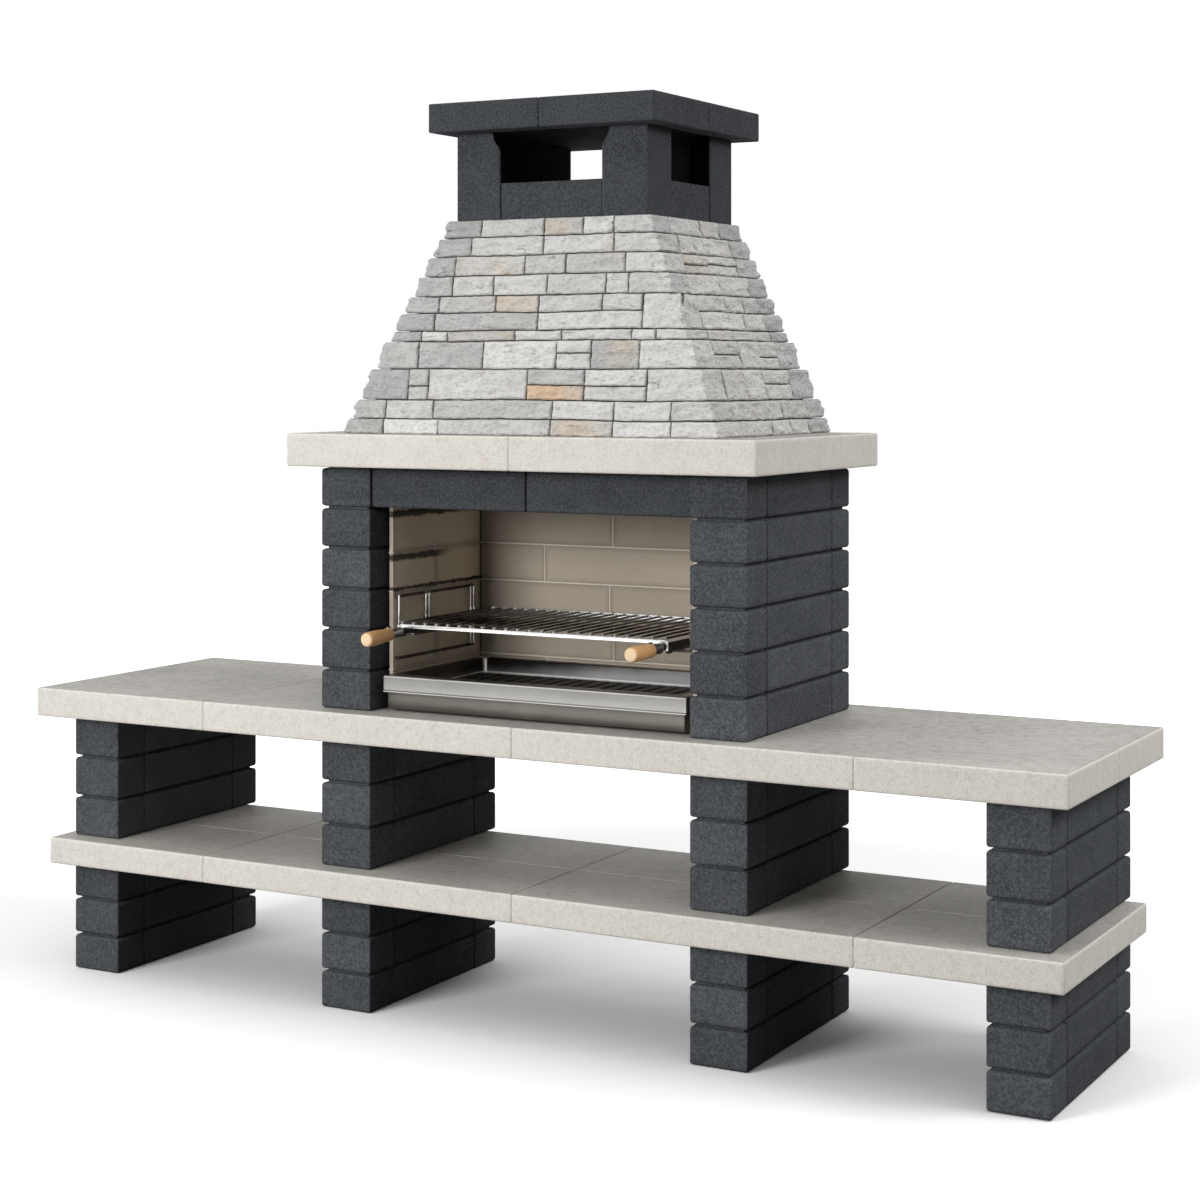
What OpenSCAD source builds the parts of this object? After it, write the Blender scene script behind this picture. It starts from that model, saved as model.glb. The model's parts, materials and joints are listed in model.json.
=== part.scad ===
// Masonry barbecue: two long slabs on four block piers, a brick-lined firebox
// between two block pillars, a stone-clad hood and a capped chimney collar.
// Millimetres, +Z up, X along the front, front of the object towards -Y.
// The sizes are laid out about the firebox: x = 0 on its centre line and y = 0
// at mid-depth of the piers. place() then moves every node so that the middle
// of the whole object's plan is at x = 0, y = 0.

/* [Block piers] */
// Width of every pier and pillar
block_w = 160; // [120:5:200]
// Depth of every pier and pillar, front to back
pier_depth = 660; // [560:10:760]
// Length of the front and of the rear block of a course
end_block_l = 120; // [90:5:160]
// Height of a course below the shelf
lower_course_h = 105; // [90:1:130]
// Height of a course between shelf and worktop
upper_course_h = 117; // [95:1:130]
// Height of a course beside the firebox
pillar_course_h = 111; // [105:1:125]
// Courses in each pier below the shelf
lower_courses = 3; // [2:1:4]
// Courses in each pier between shelf and worktop
upper_courses = 3; // [2:1:4]
// Courses in each pillar beside the firebox
pillar_courses = 6; // [6:1:7]
// Rounding of the blocks' level edges
block_round = 8; // [4:1:12]
// Rounding of the blocks' upright edges
upright_round = 3; // [2:0.5:8]
// Width of the open joint between two courses
bed_gap = 6; // [2:0.5:8]
// Width of the open upright joint between two blocks
joint_gap = 3; // [1:0.5:5]
// Depth of the open joints, from the face of the blocks
joint_depth = 15; // [12:1:25]

/* [Bays] */
// Clear width of the bay under the left table
left_bay_w = 720; // [500:10:900]
// Clear width of the bay under the firebox
centre_bay_w = 970; // [900:10:1100]
// Clear width of the bay under the right table
right_bay_w = 620; // [500:10:900]

/* [Shelf] */
// Thickness of the shelf slabs
shelf_t = 75; // [50:1:100]
// Overhang of the shelf in front of the piers
shelf_front = 65; // [20:5:100]
// How far the shelf stops short of the back of the piers
shelf_back_inset = 30; // [0:5:60]
// Overhang of the shelf past the left pier
shelf_left = 40; // [10:5:80]
// Overhang of the shelf past the right pier
shelf_right = 50; // [10:5:80]

/* [Worktop] */
// Thickness of the worktop slabs
top_t = 82; // [60:1:100]
// Overhang of the worktop in front of the piers
top_front = 65; // [30:5:100]
// Overhang of the worktop behind the piers
top_back = 100; // [20:5:150]
// Overhang of the worktop past the left pier
top_left = 90; // [40:5:140]
// Overhang of the worktop past the right pier
top_right = 60; // [40:5:140]
// Chamfer along the edges of every slab
arris = 3; // [1:0.5:6]

/* [Firebox] */
// Thickness of the firebrick lining
lining_t = 30; // [20:1:40]
// Setback of the side lining's front edge from the front of the pillars
lining_front_inset = 73; // [50:1:85]
// Height of a firebrick course with its joint
brick_course_h = 107; // [90:1:120]
// Length of a firebrick with its joint
brick_l = 439; // [300:1:450]
// Width of a joint in the firebrick
brick_joint_w = 4; // [3:0.5:6]
// Depth of a joint in the firebrick
brick_joint_depth = 3; // [2:0.5:5]
// Thickness of the block wall behind the lining
rear_wall_t = 90; // [60:5:95]
// Setback of the lintel from the front of the pillars
lintel_inset = 10; // [5:1:30]
// Depth of the lintel, front to back
lintel_depth = 120; // [80:5:150]

/* [Mantel] */
// Thickness of the mantel slabs
mantel_t = 90; // [60:1:110]
// Overhang of the mantel past each pillar
mantel_side = 60; // [30:5:100]
// Overhang of the mantel in front of the pillars
mantel_front = 80; // [40:5:120]
// Overhang of the mantel behind the pillars
mantel_back = 60; // [60:5:100]
// How far the mantel covers the firebox on each side of the smoke opening
smoke_side = 15; // [0:5:60]
// Distance of the smoke opening from the back of the lintel
smoke_front = 10; // [5:5:50]
// Distance of the smoke opening from the face of the back lining
smoke_back = 5; // [0:5:40]

/* [Hood] */
// Height of the hood
hood_h = 578; // [500:1:650]
// Setback of the hood's foot from each end of the mantel
hood_foot_side = 140; // [100:5:170]
// Setback of the hood's foot from the front of the mantel
hood_foot_front = 80; // [40:5:100]
// Setback of the hood's foot from the back of the mantel
hood_foot_back = 5; // [5:5:40]
// How far the hood's top stands out past each side of the collar
hood_rim_side = 6; // [2:1:30]
// How far the hood's top stands out in front of the collar
hood_rim_front = 13; // [2:1:30]
// How far the hood's top stands out behind the collar
hood_rim_back = 3; // [2:1:20]
// Thickness of the stone cladding, measured level
clad_t = 25; // [18:1:35]
// Thickness of the hood's shell behind the cladding, measured level
hood_wall = 60; // [40:5:70]
// Share of a course's run that shows as a ledge on its top edge
ledge_share = 0.4; // [0:0.05:0.6]
// Length of the corner stones along each side
quoin_l = 105; // [80:5:130]
// Stones between the corner stones of a course, along the front and the back
front_stones = 3; // [2:1:5]
// Stones between the corner stones of a course, along a side
side_stones = 2; // [1:1:4]
// How far an upright joint wanders from an even spacing, as a share of a stone's length
stagger = 0.3; // [0:0.05:0.4]
// Width of the joints in the cladding
clad_joint = 3; // [2:0.5:5]
// Depth of the joints in the cladding
clad_joint_depth = 7; // [4:1:12]

/* [Chimney] */
// Height of the corner posts
post_h = 239; // [180:1:280]
// Side of a front corner post, and depth of a back one
post_w = 138; // [110:1:160]
// Width of a back corner post
back_post_w = 72; // [50:1:120]
// Half width of the collar over its posts
collar_half_w = 294; // [260:1:310]
// Setback of the collar's front from the front of the pillars
collar_front = 140; // [135:1:160]
// Depth of the collar over its posts
collar_depth = 512; // [480:1:530]
// Height of the panels between the posts
panel_h = 101; // [60:1:140]
// Thickness of the panels between the posts
panel_t = 60; // [40:1:80]
// Setback of the panels from the faces of the posts
panel_inset = 3; // [0:0.5:10]
// Thickness of the upright walls behind the side panels
flue_wall = 20; // [15:1:30]
// Radius of the flue bowl under the cap
bowl_r = 313; // [280:1:320]
// Depth of the flue bowl below the cap
bowl_depth = 165; // [150:1:180]
// Thickness of the cap slabs
cap_t = 79; // [50:1:100]
// Overhang of the cap past the collar on each side
cap_side = 51; // [20:1:80]
// Overhang of the cap in front of the collar
cap_front = 66; // [20:1:90]
// Overhang of the cap behind the collar
cap_back = 73; // [20:1:90]

/* [Ember tray] */
// Sheet thickness of the tray and its base
sheet_t = 3; // [2:0.5:4]
// How far the tray's front reaches past the face of the lining on each side
tray_front_over = 5; // [0:1:20]
// Setback of the tray's front from the front of the pillars
tray_inset = 30; // [20:1:35]
// Height of the base under the tray, with its runners
base_h = 51; // [35:1:60]
// Height of the runners under the base
runner_h = 8; // [4:1:15]
// Width of a runner, and its distance from the edges of the base
runner_w = 40; // [20:5:60]
// Setback of the base's front from the tray's front
base_inset = 8; // [4:1:15]
// Height of the tray
tray_h = 46; // [35:1:60]
// Width of the flange round the tray's basin
tray_flange = 26; // [15:1:40]
// Clearance between the tray and the lining
tray_clear = 3; // [2:0.5:6]
// Bars in the charcoal grate
coal_bars = 19; // [12:1:22]
// Height of a bar of the charcoal grate, and of its cross bars
coal_bar_h = 4; // [3:0.5:10]
// Width of a bar of the charcoal grate
coal_bar_w = 30; // [10:1:32]
// Clearance between the charcoal grate and the sides of the basin
coal_clear = 20; // [5:1:40]
// Clearance between the charcoal grate and the back of the basin
coal_back = 50; // [5:1:80]

/* [Grill] */
// Rods across the cooking grill
grill_rods = 23; // [15:1:33]
// Diameter of a grill rod
rod_d = 6; // [4:0.5:8]
// How far the rods run past the front and back bars
rod_over = 5; // [2:0.5:10]
// Clearance between the grill and the lining on each side
grill_clear = 50; // [35:1:70]
// Length of the grill, front to back
grill_depth = 475; // [400:5:540]
// Clearance between the grill's rods and the back lining
grill_back_clear = 23; // [10:1:40]
// Setback of the grill's front bar from the front of the pillars
grill_inset = 27; // [20:1:60]
// Thickness of the grill's front and back bars
bar_t = 5; // [3:0.5:8]
// Height of the grill's front and back bars
bar_h = 14; // [8:0.5:16]
// Height of the side bars that carry the handles
side_bar_h = 16; // [10:0.5:20]
// Distance of the side bars from the ends of the front bar
side_bar_in = 18; // [10:1:30]
// Length of a wooden handle
handle_l = 135; // [100:5:180]
// Diameter of a wooden handle
handle_d = 40; // [25:1:42]
// Diameter of the handle's waist
waist_d = 34; // [20:1:36]
// Length of the handle's waist
waist_l = 30; // [15:1:40]
// Length of the ferrule between side bar and handle
ferrule_l = 27; // [15:1:40]
// Diameter of the ferrule at the wood
ferrule_d = 22; // [16:1:26]

/* [Side racks] */
// Diameter of the rack's wire
wire_d = 8; // [5:0.5:10]
// Height of the lower rail above the worktop
rack_low = 139; // [120:1:160]
// Height of the rail that carries the grill above the worktop
rack_mid = 208; // [190:1:240]
// Height of the upper rail above the worktop
rack_top = 308; // [290:1:316]
// Length of the rack, front to back
rack_l = 405; // [360:5:415]
// Setback of the rack's front from the front edge of the lining
rack_inset = 4; // [4:1:15]
// Distance of the rack's wire from the lining
rack_stand = 4; // [3:1:15]
// Distance of the middle pair of uprights from the rack's front
rack_pair = 144; // [100:1:250]

/* [Hidden] */

// Steps in a quarter turn of a rounded edge, and in the flue bowl's profile
corner_steps = 3;
bowl_steps = 12;
// Sides of a round bar, of a turned handle and of the flue bowl
bar_sides = 24;
handle_sides = 48;
bowl_sides = 96;
// How far a cutting tool runs past what it cuts
past = 50;
// Clearance between the grill's side bars and the rails that carry them
rest_clear = 0.3;
// How deep one bar sinks into another where they are welded
weld = 1;
// Size of the bevel on the ends of a turned handle
handle_edge = 3;

// Levels
shelf_z = lower_courses * lower_course_h;
shelf_top_z = shelf_z + shelf_t;
top_z = shelf_top_z + upper_courses * upper_course_h;
work_z = top_z + top_t;
mantel_z = work_z + pillar_courses * pillar_course_h;
hood_z = mantel_z + mantel_t;
collar_z = hood_z + hood_h;
cap_z = collar_z + post_h;

// Plan positions about the firebox
pier_front_y = -pier_depth / 2;
pier_back_y = pier_depth / 2;
half_bay = centre_bay_w / 2;
pier_x = [-half_bay - block_w - left_bay_w - block_w, -half_bay - block_w,
    half_bay, half_bay + block_w + right_bay_w];
first_x = pier_x[0];
last_x = pier_x[3] + block_w;
block_cuts = [pier_front_y, pier_front_y + end_block_l, pier_back_y - end_block_l, pier_back_y];

// The slabs meet over the middle of each bay
slab_joints = [pier_x[1] - left_bay_w / 2, 0, pier_x[3] - right_bay_w / 2];
shelf_xs = concat([first_x - shelf_left], slab_joints, [last_x + shelf_right]);
shelf_ys = [pier_front_y - shelf_front, pier_back_y - shelf_back_inset];
work_xs = concat([first_x - top_left], slab_joints, [last_x + top_right]);
work_ys = [pier_front_y - top_front, pier_back_y + top_back];

// Firebox
lining_face_x = half_bay - lining_t;
lining_front_y = pier_front_y + lining_front_inset;
firebox_depth = grill_inset + grill_depth + rod_over + grill_back_clear;
lining_face_y = pier_front_y + firebox_depth;
rear_wall_y = lining_face_y + lining_t;
lintel_y = pier_front_y + lintel_inset;
lintel_z = mantel_z - pillar_course_h;
mantel_half_w = half_bay + block_w + mantel_side;
mantel_ys = [pier_front_y - mantel_front, pier_back_y + mantel_back];
mantel_mid_y = (mantel_ys[0] + mantel_ys[1]) / 2;
smoke_half_w = lining_face_x - smoke_side;
smoke_ys = [lintel_y + lintel_depth + smoke_front, lining_face_y - smoke_back];

// Hood: heights of its stone courses from the foot up, shared out over its height
course_shares = [41, 51, 82, 75, 28, 47, 45, 55, 53, 51, 47];
last_course = len(course_shares) - 1;
share_sums = [for (i = 0, s = 0; i <= last_course + 1;
    s = s + course_shares[min(i, last_course)], i = i + 1) s];
course_zs = [for (s = share_sums) s / share_sums[last_course + 1] * hood_h];
hood_foot_half_w = mantel_half_w - hood_foot_side;
hood_foot_ys = [mantel_ys[0] + hood_foot_front, mantel_ys[1] - hood_foot_back];

// Chimney, which the hood's top follows
collar_ys = [pier_front_y + collar_front, pier_front_y + collar_front + collar_depth];
hood_top_half_w = collar_half_w + hood_rim_side;
hood_top_ys = [collar_ys[0] - hood_rim_front, collar_ys[1] + hood_rim_back];
collar_mid_y = (collar_ys[0] + collar_ys[1]) / 2;
side_panel_xs = [collar_half_w - panel_inset - panel_t, collar_half_w - panel_inset];
flue_half_w = side_panel_xs[0] - flue_wall;
cap_half_w = collar_half_w + cap_side;
cap_ys = [collar_ys[0] - cap_front, collar_ys[1] + cap_back];
cap_mid_y = (cap_ys[0] + cap_ys[1]) / 2;

// Ember tray
tray_y = pier_front_y + tray_inset;
tray_back_y = lining_face_y - tray_clear;
tray_half_w = lining_face_x - tray_clear;
tray_front_half_w = lining_face_x + tray_front_over;
tray_z = work_z + base_h;
basin_half_w = tray_half_w - tray_flange;
coal_grate_z = tray_z + sheet_t;

// Grill and racks
rail_z = work_z + rack_mid;
side_bar_z = rail_z + wire_d / 2 + rest_clear;
bar_z = side_bar_z + side_bar_h - weld;
rod_z = bar_z + bar_h + rod_d / 2 - weld;
grill_half_w = lining_face_x - grill_clear;
grill_y = pier_front_y + grill_inset;
side_bar_x = grill_half_w - side_bar_in;
rack_y = lining_front_y + rack_inset;
rack_x = lining_face_x - rack_stand - wire_d / 2;
ferrule_y = grill_y - side_bar_in;
handle_tip_y = ferrule_y - ferrule_l - handle_l;

// The whole object's plan, and the move that centres it
plan_front_y = min(handle_tip_y, work_ys[0], mantel_ys[0]);
plan_back_y = max(work_ys[1], mantel_ys[1]);
centre_move = [-(work_xs[0] + work_xs[4]) / 2, -(plan_front_y + plan_back_y) / 2, 0];

block_colour = [0.27, 0.29, 0.31];
slab_colour = [0.86, 0.84, 0.80];
brick_colour = [0.66, 0.60, 0.53];
stone_colour = [0.78, 0.77, 0.74];
steel_colour = [0.72, 0.72, 0.72];
chrome_colour = [0.85, 0.85, 0.86];
black_colour = [0.10, 0.10, 0.10];
wood_colour = [0.85, 0.63, 0.38];

// Points and outlines

function arc_points(centre, r, from) =
    [for (i = [0:corner_steps]) let (a = from + 90 * i / corner_steps)
        [centre[0] + r * cos(a), centre[1] + r * sin(a)]];

function rounded_rect(low, high, r) = concat(
    arc_points([high[0] - r, high[1] - r], r, 0),
    arc_points([low[0] + r, high[1] - r], r, 90),
    arc_points([low[0] + r, low[1] + r], r, 180),
    arc_points([high[0] - r, low[1] + r], r, 270));

function chamfered_rect(low, high, c) = [
    [low[0] + c, low[1]], [high[0] - c, low[1]], [high[0], low[1] + c], [high[0], high[1] - c],
    [high[0] - c, high[1]], [low[0] + c, high[1]], [low[0], high[1] - c], [low[0], low[1] + c]];

// A value on the straight line from foot to top of the hood at height z above its foot
function on_hood(foot, top, z) = foot + (top - foot) * z / hood_h;

// Half of a gap, which a block keeps at a cut: none at the two ends of the row
function half_gap(gap, i, last) = (i == 0 || i == last) ? 0 : gap / 2;

// Outline of a patch of blocks between cuts along two directions, with open joints
module block_outline(cuts_a, cuts_b, gap_b, r) {
    last_a = len(cuts_a) - 1;
    last_b = len(cuts_b) - 1;
    for (i = [0:last_a - 1])
        for (j = [0:last_b - 1])
            polygon(rounded_rect(
                [cuts_a[i] + half_gap(joint_gap, i, last_a), cuts_b[j] + half_gap(gap_b, j, last_b)],
                [cuts_a[i + 1] - half_gap(joint_gap, i + 1, last_a),
                    cuts_b[j + 1] - half_gap(gap_b, j + 1, last_b)],
                r));
    translate([cuts_a[0] + joint_depth, cuts_b[0] + joint_depth])
        square([cuts_a[last_a] - cuts_a[0] - 2 * joint_depth,
            cuts_b[last_b] - cuts_b[0] - 2 * joint_depth]);
}

// A 2D outline in the X-Z plane, drawn out along Y between two values
module along_y(y0, y1) {
    translate([0, y1, 0])
        rotate([90, 0, 0])
            linear_extrude(height = y1 - y0)
                children();
}

// A 2D outline in the Y-Z plane, drawn out along X between two values
module along_x(x0, x1) {
    translate([x0, 0, 0])
        rotate([90, 0, 90])
            linear_extrude(height = x1 - x0)
                children();
}

// Blocks between cuts along X, Y and Z: three outlines, one for each direction of view
module masonry(xs, ys, zs) {
    x0 = xs[0];
    x1 = xs[len(xs) - 1];
    y0 = ys[0];
    y1 = ys[len(ys) - 1];
    z0 = zs[0];
    z1 = zs[len(zs) - 1];
    intersection() {
        along_y(y0 - past, y1 + past) block_outline(xs, zs, bed_gap, block_round);
        along_x(x0 - past, x1 + past) block_outline(ys, zs, bed_gap, block_round);
        translate([0, 0, z0 - past])
            linear_extrude(height = z1 - z0 + 2 * past)
                block_outline(xs, ys, joint_gap, upright_round);
    }
}

// A slab with a small chamfer along all its edges
module slab(xs, ys, zs) {
    intersection() {
        along_y(ys[0] - past, ys[1] + past)
            polygon(chamfered_rect([xs[0], zs[0]], [xs[1], zs[1]], arris));
        along_x(xs[0] - past, xs[1] + past)
            polygon(chamfered_rect([ys[0], zs[0]], [ys[1], zs[1]], arris));
        translate([0, 0, zs[0] - past])
            linear_extrude(height = zs[1] - zs[0] + 2 * past)
                polygon(chamfered_rect([xs[0], ys[0]], [xs[1], ys[1]], arris));
    }
}

// A box between two corners
module box(low, high) {
    translate(low) cube(high - low);
}

// A straight round bar along each of the three directions
module bar_x(x0, x1, y, z, d) {
    translate([x0, y, z]) rotate([0, 90, 0]) cylinder(h = x1 - x0, d = d, $fn = bar_sides);
}

module bar_y(y0, y1, x, z, d) {
    translate([x, y1, z]) rotate([90, 0, 0]) cylinder(h = y1 - y0, d = d, $fn = bar_sides);
}

module bar_z(z0, z1, x, y, d) {
    translate([x, y, z0]) cylinder(h = z1 - z0, d = d, $fn = bar_sides);
}

module place() {
    translate(centre_move) children();
}

// One side of the object is the other one mirrored
module on_side(side) {
    if (side < 0) mirror([1, 0, 0]) children();
    else children();
}

// Piers and pillars

function courses(z, count, h) = [for (i = [0:count]) z + i * h];

module pier(i, z, count, h) {
    color(block_colour)
        place()
            masonry([pier_x[i], pier_x[i] + block_w], block_cuts, courses(z, count, h));
}

module pier_lower(i) {
    pier(i, 0, lower_courses, lower_course_h);
}

module pier_upper(i) {
    pier(i, shelf_top_z, upper_courses, upper_course_h);
}

module pillar(i) {
    pier(i, work_z, pillar_courses, pillar_course_h);
}

// Shelf and worktop: the slabs are numbered from the left, in a front and a back row

function half_of(ys, back) = back ? [(ys[0] + ys[1]) / 2, ys[1]] : [ys[0], (ys[0] + ys[1]) / 2];

module shelf_slab(i, back) {
    color(slab_colour)
        place()
            slab([shelf_xs[i], shelf_xs[i + 1]], half_of(shelf_ys, back), [shelf_z, shelf_top_z]);
}

module worktop_slab(i, back) {
    color(slab_colour)
        place()
            slab([work_xs[i], work_xs[i + 1]], half_of(work_ys, back), [top_z, work_z]);
}

// Firebox

module lintel() {
    color(block_colour)
        place()
            masonry([-half_bay, 0, half_bay], [lintel_y, lintel_y + lintel_depth],
                [lintel_z, mantel_z]);
}

module rear_wall() {
    block_l = centre_bay_w / 3;
    color(block_colour)
        place()
            masonry([-half_bay, -half_bay + block_l, half_bay - block_l, half_bay],
                [rear_wall_y, rear_wall_y + rear_wall_t],
                courses(work_z, pillar_courses, pillar_course_h));
}

bed_joints = [for (z = [work_z + brick_course_h:brick_course_h:mantel_z - brick_joint_w]) z];

// Joints of a brick panel that faces +Y, on its face at y = 0: level ones and upright ones
module brick_joints(x0, x1) {
    for (z = bed_joints)
        box([x0 - past, -brick_joint_depth, z - brick_joint_w / 2],
            [x1 + past, past, z + brick_joint_w / 2]);
    for (row = [0:len(bed_joints)])
        for (x = [x0 + (row % 2 == 0 ? brick_l : brick_l / 2):brick_l:x1 - brick_joint_w])
            box([x - brick_joint_w / 2, -brick_joint_depth, work_z + row * brick_course_h],
                [x + brick_joint_w / 2, past, work_z + (row + 1) * brick_course_h]);
}

module lining_back() {
    color(brick_colour)
        place()
            difference() {
                box([-half_bay, lining_face_y, work_z], [half_bay, rear_wall_y, mantel_z]);
                translate([0, lining_face_y, 0])
                    rotate([0, 0, 180])
                        brick_joints(-lining_face_x, lining_face_x);
            }
}

module lining_side(side) {
    color(brick_colour)
        place()
            on_side(side)
                difference() {
                    box([lining_face_x, lining_front_y, work_z], [half_bay, lining_face_y, mantel_z]);
                    lintel_seat();
                    translate([lining_face_x, lining_face_y, 0])
                        rotate([0, 0, 90])
                            brick_joints(lining_front_y - lining_face_y, 0);
                }
}

// Room that the side lining leaves for the end of the lintel
module lintel_seat() {
    box([0, lintel_y - past, lintel_z], [half_bay + past, lintel_y + lintel_depth, mantel_z + past]);
}

// Mantel: four corner slabs round the smoke opening

module mantel_slab(side, back) {
    ys = back ? [mantel_mid_y, mantel_ys[1]] : [mantel_ys[0], mantel_mid_y];
    color(slab_colour)
        place()
            on_side(side)
                difference() {
                    slab([0, mantel_half_w], ys, [mantel_z, hood_z]);
                    box([-past, smoke_ys[0], mantel_z - past], [smoke_half_w, smoke_ys[1], hood_z + past]);
                }
}

// Hood: a hollow shell, and stone courses that each step in with a ledge

// Outer edge of the stone courses along one side, from the foot up. The side runs from
// foot to top, and out is 1 where outside lies towards higher values and -1 elsewhere.
function course_edge(foot, top, out) = [
    for (i = [0:last_course])
        let (z0 = course_zs[i], z1 = course_zs[i + 1],
            e0 = on_hood(foot, top, z0), e1 = on_hood(foot, top, z1),
            e2 = e1 + (e0 - e1) * ledge_share, half = clad_joint / 2,
            round = clad_joint_depth / 2,
            low = (i == 0) ? 0 : half, high = (i == last_course) ? 0 : half)
        each [
            [e0 - out * clad_joint_depth, z0 + low],
            [e0 - out * round / 3, z0 + low],
            [e0, z0 + low + round],
            [e2, z1 - high - round],
            [e2 - out * round / 2, z1 - high],
            [e1 - out * clad_joint_depth, z1 - high]]];

function reversed(list) = [for (i = [len(list) - 1:-1:0]) list[i]];

// Outline of the stone courses between a low side and a high side
module course_outline(foot, top) {
    polygon(concat(course_edge(foot[1], top[1], 1), reversed(course_edge(foot[0], top[0], -1))));
}

// Outline of the plain hood, drawn in by a level distance, and run past its ends
module hood_outline(foot, top, inset) {
    below = -past;
    above = hood_h + past;
    polygon([
        [on_hood(foot[0], top[0], below) + inset, below],
        [on_hood(foot[1], top[1], below) - inset, below],
        [on_hood(foot[1], top[1], above) - inset, above],
        [on_hood(foot[0], top[0], above) + inset, above]]);
}

foot_xs = [-hood_foot_half_w, hood_foot_half_w];
top_xs = [-hood_top_half_w, hood_top_half_w];

// The hood's width and its depth, each as a solid that runs past the other
module hood_width(inset) {
    along_y(mantel_ys[0] - past, mantel_ys[1] + past) hood_outline(foot_xs, top_xs, inset);
}

module hood_length(inset) {
    along_x(-mantel_half_w - past, mantel_half_w + past)
        hood_outline(hood_foot_ys, hood_top_ys, inset);
}

module hood_at_foot() {
    place() translate([0, 0, hood_z]) children();
}

module hood_shell() {
    color(slab_colour)
        hood_at_foot()
            difference() {
                intersection() {
                    hood_width(clad_t);
                    hood_length(clad_t);
                    box([-mantel_half_w, mantel_ys[0], 0], [mantel_half_w, mantel_ys[1], hood_h]);
                }
                intersection() {
                    hood_width(clad_t + hood_wall);
                    hood_length(clad_t + hood_wall);
                }
            }
}

module stone_courses() {
    intersection() {
        along_y(mantel_ys[0] - past, mantel_ys[1] + past) course_outline(foot_xs, top_xs);
        along_x(-mantel_half_w - past, mantel_half_w + past)
            course_outline(hood_foot_ys, hood_top_ys);
    }
}

// Where the upright joints of a course stand between the low and the high edge of a side.
// The sine of a different angle for each joint moves it off the even spacing.
function upright_joints(foot, top, stones, course) =
    let (z = (course_zs[course] + course_zs[course + 1]) / 2,
        low = on_hood(foot[0], top[0], z) + quoin_l,
        high = on_hood(foot[1], top[1], z) - quoin_l,
        stone_l = (high - low) / stones)
    [for (k = [0:stones]) low + (k + stagger * sin(137 * (course + 1) + 200 * k)) * stone_l];

module joints_across() {
    difference() {
        for (i = [0:last_course], x = upright_joints(foot_xs, top_xs, front_stones, i))
            box([x - clad_joint / 2, mantel_ys[0], course_zs[i]],
                [x + clad_joint / 2, mantel_ys[1], course_zs[i + 1]]);
        hood_length(clad_joint_depth);
    }
}

module joints_along() {
    difference() {
        for (i = [0:last_course], y = upright_joints(hood_foot_ys, hood_top_ys, side_stones, i))
            box([-mantel_half_w, y - clad_joint / 2, course_zs[i]],
                [mantel_half_w, y + clad_joint / 2, course_zs[i + 1]]);
        hood_width(clad_joint_depth);
    }
}

// The front and back cladding run through to the corners, the sides fit between them
module cladding_across(back) {
    color(stone_colour)
        hood_at_foot()
            difference() {
                stone_courses();
                hood_length(clad_t);
                joints_across();
                box([-mantel_half_w, back ? mantel_ys[0] : collar_mid_y, -past],
                    [mantel_half_w, back ? collar_mid_y : mantel_ys[1], hood_h + past]);
            }
}

module cladding_side(side) {
    color(stone_colour)
        hood_at_foot()
            on_side(side)
                difference() {
                    intersection() {
                        stone_courses();
                        hood_length(clad_t);
                        box([0, mantel_ys[0], -past], [mantel_half_w, mantel_ys[1], hood_h + past]);
                    }
                    hood_width(clad_t);
                    joints_along();
                }
}

// Chimney collar: four posts, four low panels, and a bowl turned out of their inner corners.
// The smoke leaves in front and behind: the openings at the sides end at an upright wall.

module flue_bowl() {
    intersection() {
        translate([0, collar_mid_y, cap_z])
            rotate_extrude($fn = bowl_sides)
                polygon(concat([[0, past]], [[bowl_r, past]],
                    [for (i = [0:bowl_steps]) let (a = -90 * i / bowl_steps)
                        [bowl_r * cos(a), bowl_depth * sin(a)]]));
        slab([-flue_half_w, flue_half_w], [collar_mid_y - 2 * bowl_r, collar_mid_y + 2 * bowl_r],
            [collar_z, cap_z + 2 * past]);
    }
}

function post_width(back) = back ? back_post_w : post_w;

module post(side, back) {
    y0 = back ? collar_ys[1] - post_w : collar_ys[0];
    color(block_colour)
        place()
            difference() {
                on_side(side)
                    slab([collar_half_w - post_width(back), collar_half_w], [y0, y0 + post_w],
                        [collar_z, cap_z]);
                flue_bowl();
            }
}

module panel_across(back) {
    y0 = back ? collar_ys[1] - panel_inset - panel_t : collar_ys[0] + panel_inset;
    half_l = collar_half_w - post_width(back);
    color(block_colour)
        place()
            difference() {
                slab([-half_l, half_l], [y0, y0 + panel_t], [collar_z, collar_z + panel_h]);
                flue_bowl();
            }
}

module panel_side(side) {
    ys = [collar_ys[0] + post_w, collar_ys[1] - post_w];
    color(block_colour)
        place()
            on_side(side)
                union() {
                    slab(side_panel_xs, ys, [collar_z, collar_z + panel_h]);
                    slab([flue_half_w, side_panel_xs[0] + weld], ys, [collar_z, cap_z]);
                }
}

module cap_slab(side, back) {
    ys = back ? [cap_mid_y, cap_ys[1]] : [cap_ys[0], cap_mid_y];
    color(block_colour)
        place()
            on_side(side)
                slab([0, cap_half_w], ys, [cap_z, cap_z + cap_t]);
}

// Ember tray on its base, with the charcoal grate in it

module tray_base() {
    front_y = tray_y + base_inset;
    floor_z = work_z + runner_h;
    color(steel_colour)
        place()
            union() {
                difference() {
                    box([-tray_half_w, front_y, floor_z], [tray_half_w, tray_back_y, tray_z]);
                    box([-tray_half_w + sheet_t, front_y + sheet_t, floor_z + sheet_t],
                        [tray_half_w - sheet_t, tray_back_y - sheet_t, tray_z + past]);
                }
                for (x = [-tray_half_w + runner_w, -runner_w / 2, tray_half_w - 2 * runner_w])
                    box([x, front_y + runner_w, work_z], [x + runner_w, tray_back_y - runner_w, floor_z]);
            }
}

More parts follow.
